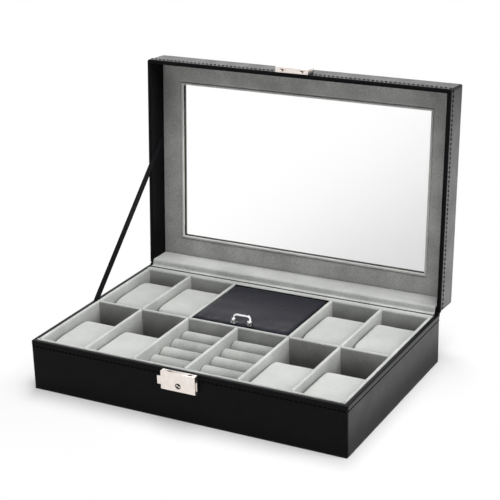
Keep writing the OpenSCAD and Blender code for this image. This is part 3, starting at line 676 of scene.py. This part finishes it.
def startTree(name, sizes):
    # a tree with a mesh, some sizes and a material as its inputs, and a value for each of them
    tree = bpy.data.node_groups.new(name, "GeometryNodeTree")
    tree.is_modifier = True
    tree.interface.new_socket("Geometry", in_out="INPUT", socket_type="NodeSocketGeometry")
    for label in sizes:
        tree.interface.new_socket(label, in_out="INPUT", socket_type="NodeSocketFloat")
    tree.interface.new_socket("Material", in_out="INPUT", socket_type="NodeSocketMaterial")
    tree.interface.new_socket("Geometry", in_out="OUTPUT", socket_type="NodeSocketGeometry")
    given = tree.nodes.new("NodeGroupInput")
    return Wiring(tree), {socket.name: Value(tree, socket) for socket in given.outputs if socket.name}


def finishedTree(w, ask, shape):
    real = w.add("GeometryNodeRealizeInstances", None, {0: shape})
    painted = w.add("GeometryNodeSetMaterial", None, {"Geometry": real, "Material": ask["Material"]})
    out = w.tree.nodes.new("NodeGroupOutput")
    w.tree.links.new(painted.socket, out.inputs[0])
    return w.tree


def throughTree(name, mesh, tree, values, body, turned=False):
    # the tree's result on mesh, as a plain piece
    if turned:
        mesh.transform(openTurn)
    made = placed(name, mesh)
    modifier = made.modifiers.new("nodes", "NODES")
    modifier.node_group = tree
    for item in tree.interface.items_tree:
        if item.in_out == "INPUT" and item.name in values:
            modifier[item.identifier] = values[item.name]
    applied(made)
    smoothed(made.data, 60)
    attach(made, body)
    return made


def stitchTree():
    w, ask = startTree("stitch_row", ("Pitch", "Stitch length", "Thickness"))
    path = w.add("GeometryNodeMeshToCurve", None, {"Mesh": ask["Geometry"]})
    row = w.tree.nodes.new("GeometryNodeCurveToPoints")
    row.mode = "LENGTH"
    w.tree.links.new(path.socket, row.inputs["Curve"])
    w.tree.links.new(ask["Pitch"].socket, row.inputs["Length"])
    ball = w.add("GeometryNodeMeshUVSphere", None, {"Segments": 8, "Rings": 6, "Radius": 0.5})
    thick = ask["Thickness"]
    size = w.add("ShaderNodeCombineXYZ", None, {0: thick, 1: thick, 2: ask["Stitch length"]})
    sewn = w.add("GeometryNodeInstanceOnPoints", None, {
        "Points": Value(w.tree, row.outputs["Points"]), "Instance": ball,
        "Rotation": Value(w.tree, row.outputs["Rotation"]), "Scale": size})
    return finishedTree(w, ask, sewn)


def pathMesh(name, points, edges):
    mesh = bpy.data.meshes.new(name)
    mesh.from_pydata([Vector(p) * mm for p in points], edges, [])
    return mesh


def seamPoints(inwards, z):
    # the two ends of each straight seam; the front has two, with the lock between them
    x, y = case["halfWidth"] - inwards, case["halfDepth"] - inwards
    c, lock = stitch["cornerGap"], stitch["lockGap"]
    return [(-x + c, -y, z), (-lock, -y, z), (lock, -y, z), (x - c, -y, z), (x, -y + c, z), (x, y - c, z),
            (x - c, y, z), (-x + c, y, z), (-x, y - c, z), (-x, -y + c, z)]


sewing = stitchTree()
for body, z, turned in (("base", baseSkin["band"], False), ("lid", lidSkin["seam"], True)):
    points = seamPoints(stitch[body], z)
    seams = pathMesh(body + "_stitches", points, [(i, i + 1) for i in range(0, len(points), 2)])
    sizes = {"Pitch": stitch["pitch"] * mm, "Stitch length": stitch["length"] * mm,
             "Thickness": stitch["thickness"] * mm, "Material": thread}
    throughTree(body + "_stitches", seams, sewing, sizes, body, turned)
print("stitches sewn")


# velvet cards: the tray's linings and dividers
card = {"thick": 3, "rearThick": 4, "rearShelf": 88, "foot": 0.2, "hold": 0.5, "roundSteps": 10, "pitch": 5,
        "play": 0.12, "wobble": 0.12, "ripple": 0.045, "heldEnds": 4, "liftFrom": 36, "liftOver": 8,
        "crossAt": (-98.25, -49.75, 49.75, 98.25), "crossTop": 0.15, "endPlay": 0.1}
# room between wall and lining for the ribbon's lower end
notch = {"front": -11.2, "back": 10.6, "fade": 2.5, "foot": 28, "rise": 4, "deep": 0.8}
innerX, innerY = case["halfWidth"] - case["wall"], case["halfDepth"] - case["wall"]
trayX, trayY, halfCard = innerX - card["thick"], innerY - card["thick"], card["thick"] / 2


def cardSection(start, thick, low, high):
    # an upright card with a full round top
    r, foot, hold, steps = thick / 2, card["foot"], card["hold"], card["roundSteps"]
    section = [(start + foot, low), (start, low + foot), (start, low + foot + hold), (start, high - r - hold)]
    for i in range(steps + 1):
        a = math.pi - math.pi * i / steps
        section.append((start + r + r * math.cos(a), high - r + r * math.sin(a)))
    end = start + thick
    section += [(end, high - r - hold), (end, low + foot + hold), (end, low + foot), (end - foot, low)]
    return section


# hand wrapped cloth is never quite straight, and the seed makes it the same at each run
noise.seed_set(1)


def wobble(amount, held):
    def shift(p):
        field = noise.noise_vector(Vector(p) * card["ripple"] * 3)
        hold = held(p)
        lift = share((p[2] - card["liftFrom"]) / card["liftOver"])
        return (p[0] + field[0] * amount * hold, p[1] + field[1] * amount * hold,
                p[2] + min(0, field[2]) * amount * 1.5 * lift)
    return shift


def endHeld(low, high, axis):
    # no wobble at the two ends
    return lambda p: share((p[axis] - low) / card["heldEnds"], (high - p[axis]) / card["heldEnds"])


def notched(p):
    room = share((p[1] - notch["front"]) / notch["fade"], (notch["back"] - p[1]) / notch["fade"])
    room *= share((p[2] - notch["foot"]) / notch["rise"])
    return (max(p[0], -innerX + notch["deep"] * room), p[1], p[2])


def velvetCard(name, node, along, start, runs, thick=card["thick"], lower=0.0, cut=None):
    section = cardSection(start, thick, case["trayFloor"], case["trayTop"] - lower)
    meshes = []
    for a, b in runs:
        sway = wobble(card["wobble"], endHeld(a, b, 0 if along == "x" else 1))

        def shift(p, sway=sway):
            return cut(sway(p)) if cut else sway(p)
        meshes.append(extruded(name, section, along, spaced(a, b, card["pitch"]), shift))
    mesh = meshes[0] if len(meshes) == 1 else joined(name, meshes)
    piece(name, mesh, trayVelvet, "base", "velvet", [node])


def makeCards():
    wide = [(-innerX + card["endPlay"], innerX - card["endPlay"])]
    deep = [(-trayY, card["rearShelf"])]
    front = (-trayY + card["play"], -halfCard - card["play"])
    back = (halfCard + card["play"], card["rearShelf"] - card["play"])
    velvetCard("front_lining_velvet", "lining_front", "x", -innerY, wide)
    velvetCard("rear_lining_velvet", "lining_rear", "x", card["rearShelf"], wide, card["rearThick"])
    velvetCard("left_lining_velvet", "lining_left", "y", -innerX, deep, cut=notched)
    velvetCard("right_lining_velvet", "lining_right", "y", trayX, deep)
    velvetCard("long_divider_velvet", "long_divider", "x", -halfCard, [(-trayX, trayX)])
    for i, x in enumerate(card["crossAt"], 1):
        velvetCard(f"cross_divider_velvet_{i}", f"cross_divider_{i}", "y", x - halfCard, [front, back],
                   lower=card["crossTop"])
    velvetCard("ring_divider_velvet", "ring_divider", "y", -halfCard, [front], lower=card["crossTop"])


makeCards()

ledge = {"y0": 92.05, "y1": 95.55, "top": 45.8, "round": 0.7, "pitch": 6, "wobble": 0.1, "held": 0.6}


def makeLedge():
    y0, y1, z, r, floorZ = ledge["y0"], ledge["y1"], ledge["top"], ledge["round"], case["trayFloor"]
    section = [(y0, floorZ), (y0, z - r), (y0 + 0.3 * r, z - 0.3 * r), (y0 + r, z), (y1 - r, z),
               (y1 - 0.3 * r, z - 0.3 * r), (y1, z - r), (y1, floorZ)]
    end = innerX - card["endPlay"]
    mesh = extruded("rear_ledge_velvet", section, "x", spaced(-end, end, ledge["pitch"]),
                    wobble(ledge["wobble"], lambda p: ledge["held"]))
    piece("rear_ledge_velvet", mesh, trayVelvet, "base", "velvet", ["rear_ledge"])


makeLedge()
print("velvet cards made")


# ring rolls
rolls = {"count": 5, "top": 37.5, "play": 0.1, "halfWidth": 23.0, "endRound": 1.3, "middle": 24.875,
         "arcSteps": 16, "arcFrom": 200, "arcTurn": 220, "slack": 0.16, "pitch": 3.5}


def makeRolls(name, centreX, node):
    low, high = -trayY + rolls["play"], -halfCard - rolls["play"]
    count, steps, pitch = rolls["count"], rolls["arcSteps"], (high - low) / rolls["count"]
    r = (pitch - 0.3) / 2
    axisZ = rolls["top"] - r
    section = [(low + 0.2, case["trayFloor"] + 0.02)]
    for i in range(count):
        c = low + pitch * (i + 0.5)
        for k in range(steps + 1):
            a = math.radians(rolls["arcFrom"] - rolls["arcTurn"] * k / steps)
            section.append((c + r * math.cos(a), axisZ + r * math.sin(a)))
        if i < count - 1:
            section.append((c + pitch / 2, axisZ - r * 0.42))
    section.append((high - 0.2, case["trayFloor"] + 0.02))
    w, e = rolls["halfWidth"], rolls["endRound"]
    ends = [w, w - 0.25 * e, w - 0.6 * e, w - e]
    stations = [-x for x in ends] + spaced(-w + e, w - e, rolls["pitch"])[1:-1] + ends[::-1]

    def shift(p):
        edge = max(0.0, (abs(p[0]) - (w - e)) / e)
        pull = 1 - math.sqrt(max(0.0, 1 - edge * edge))
        slack = noise.noise(Vector((p[0] + centreX, p[1], p[2])) * 0.16) * rolls["slack"]
        near = low + pitch * (min(count - 1, max(0, math.floor((p[1] - low) / pitch))) + 0.5)
        dy, dz = p[1] - near, p[2] - axisZ
        if p[2] < axisZ - r * 0.6:
            return (p[0] + centreX, p[1], p[2])
        size = (r - e * 0.75 * pull + slack * 0.7 - 0.08) / r
        return (p[0] + centreX, near + dy * size, axisZ + dz * size)
    piece(name, extruded(name, section, "x", stations, shift, 60), rollVelvetPaintedShade, "base", "velvet", [node])


makeRolls("ring_rolls_velvet_left", -rolls["middle"], "ring_rolls_left")
makeRolls("ring_rolls_velvet_right", rolls["middle"], "ring_rolls_right")
print("ring rolls made")


# watch pillows
pillow = {"edge": 15, "arch": 95, "shrink": 0.5, "voxel": 0.0034, "pressure": 4.0, "cap": 0.0022,
          "frames": 18, "dent": 0.35, "welt": 0.42, "weltInside": 1.5, "weltSunk": 0.00028}


def loafOutline(y0, y1, z0, z1, steps=9):
    # the pillow's end panel: rounded corners under a slightly arched top
    edge, arch, outline = pillow["edge"], pillow["arch"], []
    for cy, cz, start in ((y1 - edge, z0 + edge, -90), (y1 - edge, z1 - edge, 0), (y0 + edge, z1 - edge, 90),
                          (y0 + edge, z0 + edge, 180)):
        for i in range(steps):
            a = math.radians(start + 90 * i / (steps - 1))
            outline.append((cy + edge * math.cos(a), cz + edge * math.sin(a)))
    middle, centre = (y0 + y1) / 2, z1 - arch
    return [(y, min(z, centre + math.sqrt(arch * arch - (y - middle) ** 2))) for y, z in outline]


def inflated(made, low, high):
    # cloth under pressure, kept near its start, then kept inside its place in the tray
    start = [v.co.copy() for v in made.data.vertices]
    cloth = made.modifiers.new("cloth", "CLOTH")
    cloth.settings.quality = 6
    cloth.settings.mass = 0.2
    cloth.settings.tension_stiffness = cloth.settings.compression_stiffness = 12
    cloth.settings.bending_stiffness = 0.6
    cloth.settings.use_pressure = True
    cloth.settings.uniform_pressure_force = pillow["pressure"]
    cloth.settings.effector_weights.gravity = 0
    cloth.point_cache.frame_start, cloth.point_cache.frame_end = 1, pillow["frames"]
    for f in range(1, pillow["frames"] + 1):
        bpy.context.scene.frame_set(f)
    applied(made)
    bpy.context.scene.frame_set(1)
    for v, first in zip(made.data.vertices, start):
        move = v.co - first
        if move.length > pillow["cap"]:
            v.co = first + move.normalized() * pillow["cap"]
        for k in range(3):
            v.co[k] = min(max(v.co[k], low[k]), high[k])


def dented(mesh, low):
    # faint dents of soft filling
    seed = noise.noise(Vector((low.x, low.y, 0)) * 0.37) * 40
    outwards = [v.normal.copy() for v in mesh.vertices]
    for v, way in zip(mesh.vertices, outwards):
        p = v.co / mm
        dent = noise.noise(Vector((p.x * 0.05 + seed, p.y * 0.045, p.z * 0.05))) * pillow["dent"]
        v.co = (p + way * min(0.0, dent)) * mm


def makePillow(node):
    low, high = (Vector(c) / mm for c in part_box(node))
    s = pillow["shrink"]
    outline = loafOutline(low.y + s, high.y - s, low.z + 0.3, high.z - s)
    made = placed(node + "_cushion", extruded(node + "_cushion", outline, "x", [low.x + s, high.x - s]))
    remesh = made.modifiers.new("remesh", "REMESH")
    remesh.mode, remesh.voxel_size = "VOXEL", pillow["voxel"]
    applied(made)
    smooth = made.modifiers.new("smooth", "SMOOTH")
    smooth.factor, smooth.iterations = 0.5, 2
    applied(made)
    inflated(made, (low + Vector((0.05, 0.05, 0.05))) * mm, (high - Vector((0.05, 0.05, 0.0))) * mm)
    finer = made.modifiers.new("finer", "SUBSURF")
    finer.levels = finer.render_levels = 2
    applied(made)
    dented(made.data, low)
    made.data.shade_smooth()
    body = node.replace("pillow_", "pillow_body_")
    dressed(made, pillowVelvet, body, "velvet_pillow", [node])
    return made, low, high, body


def weltTree():
    # a thin round cord along a path
    w, ask = startTree("piped_seam", ("Radius",))
    path = w.add("GeometryNodeMeshToCurve", None, {"Mesh": ask["Geometry"]})
    ring = w.add("GeometryNodeCurvePrimitiveCircle", None, {"Resolution": 8, "Radius": ask["Radius"]})
    tube = w.add("GeometryNodeCurveToMesh", None, {"Curve": path, "Profile Curve": ring, "Fill Caps": True})
    return finishedTree(w, ask, tube)


piping = weltTree()


def makeWelts(made, low, high, body):
    # the seam between the wrap and each end panel, laid on the swollen surface, in darker velvet that is
    # painted shade along the seam
    tree = BVHTree.FromPolygons([v.co.copy() for v in made.data.vertices],
                                [list(p.vertices) for p in made.data.polygons])
    points, edges, middle = [], [], (low + high) / 2
    for side in (low.x + pillow["weltInside"], high.x - pillow["weltInside"]):
        first = len(points)
        inside = Vector((side, middle.y, middle.z))
        for y, z in loafOutline(low.y, high.y, low.z, high.z, 12):
            outside = Vector((side, y + (y - middle.y) * 0.3, z + (z - middle.z) * 0.3))
            hit = tree.ray_cast(outside * mm, (inside - outside).normalized())[0]
            if hit is not None:
                points.append(hit + (inside * mm - hit).normalized() * pillow["weltSunk"])
        edges += [(i, i + 1) for i in range(first, len(points) - 1)] + [(len(points) - 1, first)]
    mesh = bpy.data.meshes.new(made.name.replace("cushion", "seams"))
    mesh.from_pydata(points, edges, [])
    throughTree(mesh.name, mesh, piping, {"Radius": pillow["welt"] * mm, "Material": seamVelvetPaintedShade}, body)


# a small coil that the lock's slide presses together
spring = {"wire": 0.14, "turns": 7, "perTurn": 14, "travel": 1.7}


def makeSpring():
    low, high = (Vector(c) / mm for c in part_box("lock_spring"))
    wire, count = spring["wire"], spring["turns"] * spring["perTurn"]
    middle, radius = (low + high) / 2, min(high.y - low.y, high.z - low.z) / 2 - wire
    points = []
    for i in range(count + 1):
        a = 2 * math.pi * i / spring["perTurn"]
        x = low.x + wire + (high.x - low.x - 2 * wire) * i / count
        points.append((x, middle.y + radius * math.cos(a), middle.z + radius * math.sin(a)))
    coil = pathMesh("lock_spring_coil", points, [(i, i + 1) for i in range(count)])
    made = throughTree("lock_spring_coil", coil, piping, {"Radius": wire * mm, "Material": darkSteel}, "base")
    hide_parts("lock_spring")
    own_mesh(made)


makeSpring()
print("lock spring made")

for row in ("front", "back"):
    for i in (1, 2, 3, 4):
        makeWelts(*makePillow(f"pillow_{row}_{i}"))
print("pillows made")


# small lid: leatherette over a thin pad, with faint puckers that stay clear of the handle's feet
smallLid = {"edge": 1.1, "roll": 5.0, "frontRoll": 8.0, "crown": 0.35, "crease": 0.32, "cell": 1.1,
            "feet": ((9, 7), (-7, 7)), "clear": 5, "belts": ((0.0, 0.9), (0.0, 0.3), (0.08, 0.0))}


def makeSmallLid():
    low, high = (Vector(c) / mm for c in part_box("compartment_lid_cover"))
    x0, x1, y0, y1, z0, z1 = low.x, high.x, low.y, high.y, low.z, high.z
    s = smallLid
    xs, ys = spaced(x0, x1, s["cell"]), spaced(y0, y1, s["cell"])

    def height(x, y):
        drop = 0.0
        for gap, roll in ((min(x - x0, x1 - x), s["roll"]), (y - y0, s["frontRoll"]), (y1 - y, s["roll"])):
            drop += s["edge"] * max(0.0, 1 - gap / roll) ** 3
        middle = math.sin(math.pi * (x - x0) / (x1 - x0)) * math.sin(math.pi * (y - y0) / (y1 - y0))
        near = math.exp(-((y - 7) / 9) ** 2)
        puckers = (noise.noise(Vector((x * 0.13, y * 0.05, 3.0))) * near
                   + noise.noise(Vector((x * 0.035, y * 0.06, 9.0))) * 0.8)
        free = min(1.0, min(math.hypot(x - footX, y - footY) for footX, footY in s["feet"]) / s["clear"])
        return z1 - drop - 0.05 + (s["crown"] * middle + s["crease"] * puckers) * free * free

    columns, last = len(ys), len(xs) - 1
    points = [(x, y, height(x, y)) for x in xs for y in ys]
    faces = []
    for i in range(last):
        for j in range(columns - 1):
            a = i * columns + j
            faces.append((a, a + columns, a + columns + 1, a + 1))
    rim = [(i, 0) for i in range(last + 1)] + [(last, j) for j in range(1, columns)]
    rim += [(i, columns - 1) for i in range(last - 1, -1, -1)] + [(0, j) for j in range(columns - 2, 0, -1)]
    belts = [[i * columns + j for i, j in rim]]
    for inset, up in s["belts"]:
        belts.append(list(range(len(points), len(points) + len(rim))))
        points += [(min(max(xs[i], x0 + inset), x1 - inset), min(max(ys[j], y0 + inset), y1 - inset), z0 + up)
                   for i, j in rim]
    for upper, lower in zip(belts, belts[1:]):
        faces += band(upper, lower)
    faces.append(tuple(reversed(belts[-1])))
    made = piece("small_lid_leather", flatMesh("small_lid_leather", points, faces, 70), softLeather,
                 "compartment_lid", "leatherette", ["compartment_lid_cover"])


makeSmallLid()
print("small lid made")


# lid panel, and the padded lip round the window, wrapped in its own strip, whose lighter velvet is a painted
# highlight
panel = {"face": 69.3, "back": 70.45, "outer": 3.25, "opening": 25.5, "lip": 2.4, "lipHeight": 0.65,
         "corner": 0.6}


def makePanel():
    z, back, w, h = panel["face"], panel["back"], panel["opening"], panel["lipHeight"]
    o, corner = w - panel["lip"], panel["corner"]
    profile = [(panel["outer"], back), (panel["outer"], z + 0.35), (3.4, z + 0.1), (3.9, z), (4.5, z),
               (o - 3.9, z), (o - 3.2, z), (o - 1.6, z + 0.06), (o - 0.8, z + 0.2), (o - 0.3, z + 0.42),
               (o - 0.05, z + 0.7), (o - 0.05, back)]
    piece("lid_panel_velvet", framed("lid_panel_velvet", profile, corner, corner, 60), panelVelvet, "lid",
          "velvet_panel", ["lid_panel"], turned=True)
    profile = [(o, back), (o, z + 0.7), (o + 0.12, z + 0.1), (o + 0.35, z - h * 0.6),
               (o + 0.75, z - h * 0.95), (o + 1.2, z - h), (w - 0.7, z - h * 0.9), (w - 0.3, z - h * 0.55),
               (w - 0.08, z - h * 0.1), (w, z + 0.5), (w, back)]
    piece("window_lip_velvet", framed("window_lip_velvet", profile, corner, corner, 60), lipVelvetPaintedHighlight, "lid",
          "velvet_panel", turned=True)


makePanel()
print("lid panel made")


# hinge flap: velvet that bridges the joint from the ledge to the lid's lining
flap = {"thick": 0.55, "halfWidth": 145.2, "sag": 0.12, "pitch": 5, "pieces": 4,
        "path": ((95.75, 46.6), (97.2, 46.62), (98.3, 46.75), (98.95, 47.4), (99.3, 48.6), (99.6, 49.9),
                 (100.1, 51.0), (101.0, 51.75), (102.4, 51.95), (106, 51.85), (111, 51.75), (117, 51.7))}


def curved(knots, pieces):
    # a smooth line through every knot
    line = []
    for i in range(len(knots) - 1):
        p0, p1, p2, p3 = (Vector(knots[max(0, min(len(knots) - 1, k))]) for k in (i - 1, i, i + 1, i + 2))
        for s in range(pieces):
            t = s / pieces
            line.append(0.5 * ((2 * p1) + (p2 - p0) * t + (2 * p0 - 5 * p1 + 4 * p2 - p3) * t * t
                               + (3 * p1 - p0 - 3 * p2 + p3) * t * t * t))
    return line + [Vector(knots[-1])]


def makeFlap():
    cadHigh = Vector(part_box("hinge_flap")[1]) / mm
    line = curved([*flap["path"], (cadHigh.y - 0.4, cadHigh.z - 0.15)], flap["pieces"])
    length = sum((b - a).length for a, b in zip(line, line[1:]))

    def shift(p):
        ripple = noise.noise(Vector((p[0] * 0.03, p[1] * 0.2, p[2] * 0.2))) * flap["sag"]
        return (p[0], p[1] - abs(ripple), p[2] + ripple * 0.5)
    w = flap["halfWidth"]
    mesh = extruded("hinge_flap_velvet", stripSection(line, flap["thick"]), "x", spaced(-w, w, flap["pitch"]),
                    shift, 60)
    made = piece("hinge_flap_velvet", mesh, trayVelvet, None, "velvet", ["hinge_flap"])
    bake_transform(made)


makeFlap()

# leathercloth strips that close the joint at the back, beside and between the hinges
tape = {"thick": 0.3, "pitch": 12, "runs": ((-149.6, -106), (-74, 74), (106, 149.6)),
        "path": ((100.16, 43.2), (100.2, 45.7), (100.35, 46.1), (101.0, 46.72), (101.5, 46.85),
                 (104.2, 47.02))}


def makeTape():
    section = stripSection([Vector(p) for p in tape["path"]], tape["thick"])
    strips = [extruded("strip", section, "x", spaced(a, b, tape["pitch"])) for a, b in tape["runs"]]
    made = piece("rear_hinge_tape", joined("rear_hinge_tape", strips), leatherette, None, "leatherette")
    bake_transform(made)


makeTape()


# stay ribbon: its lower end goes down behind the left lining, and its upper end is fixed in the open lid
ribbon = {"width": 8, "thick": 0.4, "x": -145.9, "low": (-3.5, 46), "tail": 14, "along": 120, "deep": 17.5,
          "steps": 60, "tailSteps": 8, "selvedge": 0.5}


def ribbonEnds():
    # where the free strip starts and ends, as (y, z)
    a = math.radians(case["openDegrees"])
    v, w = ribbon["along"] + case["axisY"] - case["halfDepth"], ribbon["deep"]
    return Vector(ribbon["low"]), Vector((case["axisY"] - v * math.cos(a) + w * math.sin(a),
                                          case["axisZ"] + v * math.sin(a) + w * math.cos(a)))


def makeStayRibbon():
    low, high = ribbonEnds()
    foot = low - Vector((0, ribbon["tail"] - 0.5))
    line = [foot.lerp(low, i / ribbon["tailSteps"]) for i in range(ribbon["tailSteps"])]
    line += [low.lerp(high, i / ribbon["steps"]) for i in range(ribbon["steps"] + 1)]
    lengths = [0.0]
    for a, b in zip(line, line[1:]):
        lengths.append(lengths[-1] + (b - a).length)
    half, edge, width = ribbon["width"] / 2 - 0.1, ribbon["selvedge"], ribbon["width"]
    points, faces = [], []
    for i, c in enumerate(line):
        ahead = heading(line, i)
        side = Vector((ahead.y, -ahead.x))
        for x in (0.02, ribbon["thick"] + 0.02):
            for s in (-half, -half + edge, 0, half - edge, half):
                q = c + side * s
                points.append((ribbon["x"] + x, q.x, q.y))
    ring = (0, 1, 2, 3, 4, 9, 8, 7, 6, 5)
    rows = [[i * len(ring) + k for k in ring] for i in range(len(line))]
    for row, after in zip(rows, rows[1:]):
        faces += band(row, after)
    faces += [tuple(rows[0]), tuple(reversed(rows[-1]))]
    mesh = bpy.data.meshes.new("stay_ribbon_woven")
    mesh.from_pydata([Vector(p) * mm for p in points], [], faces)
    across = (0, edge, width / 2, width - edge, width)
    uv = mesh.uv_layers.new(name="weave")
    for loop in mesh.loops:
        i, k = divmod(loop.vertex_index, len(ring))
        uv.data[loop.index].uv = (across[k % len(across)] * mm, lengths[i] * mm)
    mesh.validate()
    facedOutwards(mesh)
    smoothed(mesh, 40)
    made = piece("stay_ribbon_woven", mesh, ribbonCloth, None, "ribbon", ["stay_ribbon"])
    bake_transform(made)


makeStayRibbon()
print("flap, tape and ribbon made")


# studio
studio = {"world": 0.06, "floor": 0.85, "floorHalf": 9, "floorWhite": 0.3, "leftFade": 2.6, "fade": 0.13}
lamps = {
    "top_light": {"place": (0.10, 0.12, 1.45), "aim": (0, 0.05, 0), "size": (1.6, 0.5), "power": 24.0},
    "right_light": {"place": (1.5, 0.15, 0.8), "aim": (0, 0.05, 0.06), "size": (0.6, 0.8), "power": 14.0,
                    "hidden": "visible_glossy"},
    "front_light": {"place": (-1.2, -1.5, 0.3), "aim": (0, 0.1, 0.15), "size": (1.8, 0.5), "power": 2.3,
                    "hidden": "visible_glossy"},
    # these three are only seen as a gleam on the leather
    "back_light": {"place": (-0.66, 1.74, 0.42), "aim": (0, 0.12, 0.25), "size": (1.2, 0.35), "power": 3.6,
                   "hidden": "visible_diffuse"},
    "rear_light": {"place": (0.0, 0.56, 0.004), "aim": (0.0, 0.56, 1), "size": (1.0, 0.72), "power": 6.2,
                   "hidden": "visible_diffuse"},
    "low_side_light": {"place": (0.215, 0.05, 0.004), "aim": (0.215, 0.05, 1), "size": (0.1, 0.3),
                       "power": 0.12, "hidden": "visible_diffuse"}}


def makeFloor():
    half, grey, white = studio["floorHalf"], studio["floor"], studio["floorWhite"]
    mesh = bpy.data.meshes.new("floor")
    corners = [(-half, -half, 0), (half, -half, 0), (half, half, 0), (-half, half, 0)]
    mesh.from_pydata(corners, [], [(0, 1, 2, 3)])
    floor = placed("floor", mesh)
    paper = Finish("studio_floor", Base_Color=rgb(grey, grey, grey), Roughness=0.9, Specular_IOR_Level=0.1)
    w = paper.wiring
    # the paper shows white away from the case, and keeps its shadow close to it
    across, along, _ = w.axes(paper.where)
    halfWidth, halfDepth = case["halfWidth"] * mm, case["halfDepth"] * mm
    beside = (across - halfWidth).atLeast((across * -1.0 - halfWidth) * studio["leftFade"]).atLeast(0.0)
    before = (along.size() - halfDepth).atLeast(0.0)
    far = w.step((beside * beside + before * before) ** 0.5, 0.0, studio["fade"])
    glow = w.add("ShaderNodeEmission", None, {"Color": rgb(1, 1, 1), "Strength": 1.0})
    both = w.add("ShaderNodeMixShader", None, {0: w.seenRay() * (white + far * (1.0 - white)),
                                              1: Value(paper.tree, paper.shader.outputs[0]), 2: glow})
    paper.tree.links.new(both.socket, paper.output.inputs["Surface"])
    paper.material.cycles.emission_sampling = "NONE"
    mesh.materials.append(paper.material)


def makeWorld():
    world = bpy.data.worlds.new("studio")
    bpy.context.scene.world = world
    world.cycles.sampling_method = "NONE"
    world.use_nodes = True
    tree = world.node_tree
    tree.nodes.clear()
    w = Wiring(tree)
    strength = w.seenRay() * (1.0 - studio["world"]) + studio["world"]
    light = w.add("ShaderNodeBackground", None, {"Color": rgb(1, 1, 1), "Strength": strength})
    out = tree.nodes.new("ShaderNodeOutputWorld")
    tree.links.new(light.socket, out.inputs["Surface"])


def makeLamp(name, lamp):
    data = bpy.data.lights.new(name, "AREA")
    data.shape, data.energy = "RECTANGLE", lamp["power"]
    data.size, data.size_y = lamp["size"]
    made = placed(name, data)
    made.visible_camera = False
    if "hidden" in lamp:
        setattr(made, lamp["hidden"], False)
    made.location = lamp["place"]
    made.rotation_mode = "QUATERNION"
    made.rotation_quaternion = (Vector(lamp["aim"]) - Vector(lamp["place"])).to_track_quat("-Z", "Y")


makeFloor()
makeWorld()
for name, lamp in lamps.items():
    makeLamp(name, lamp)
print("studio made")
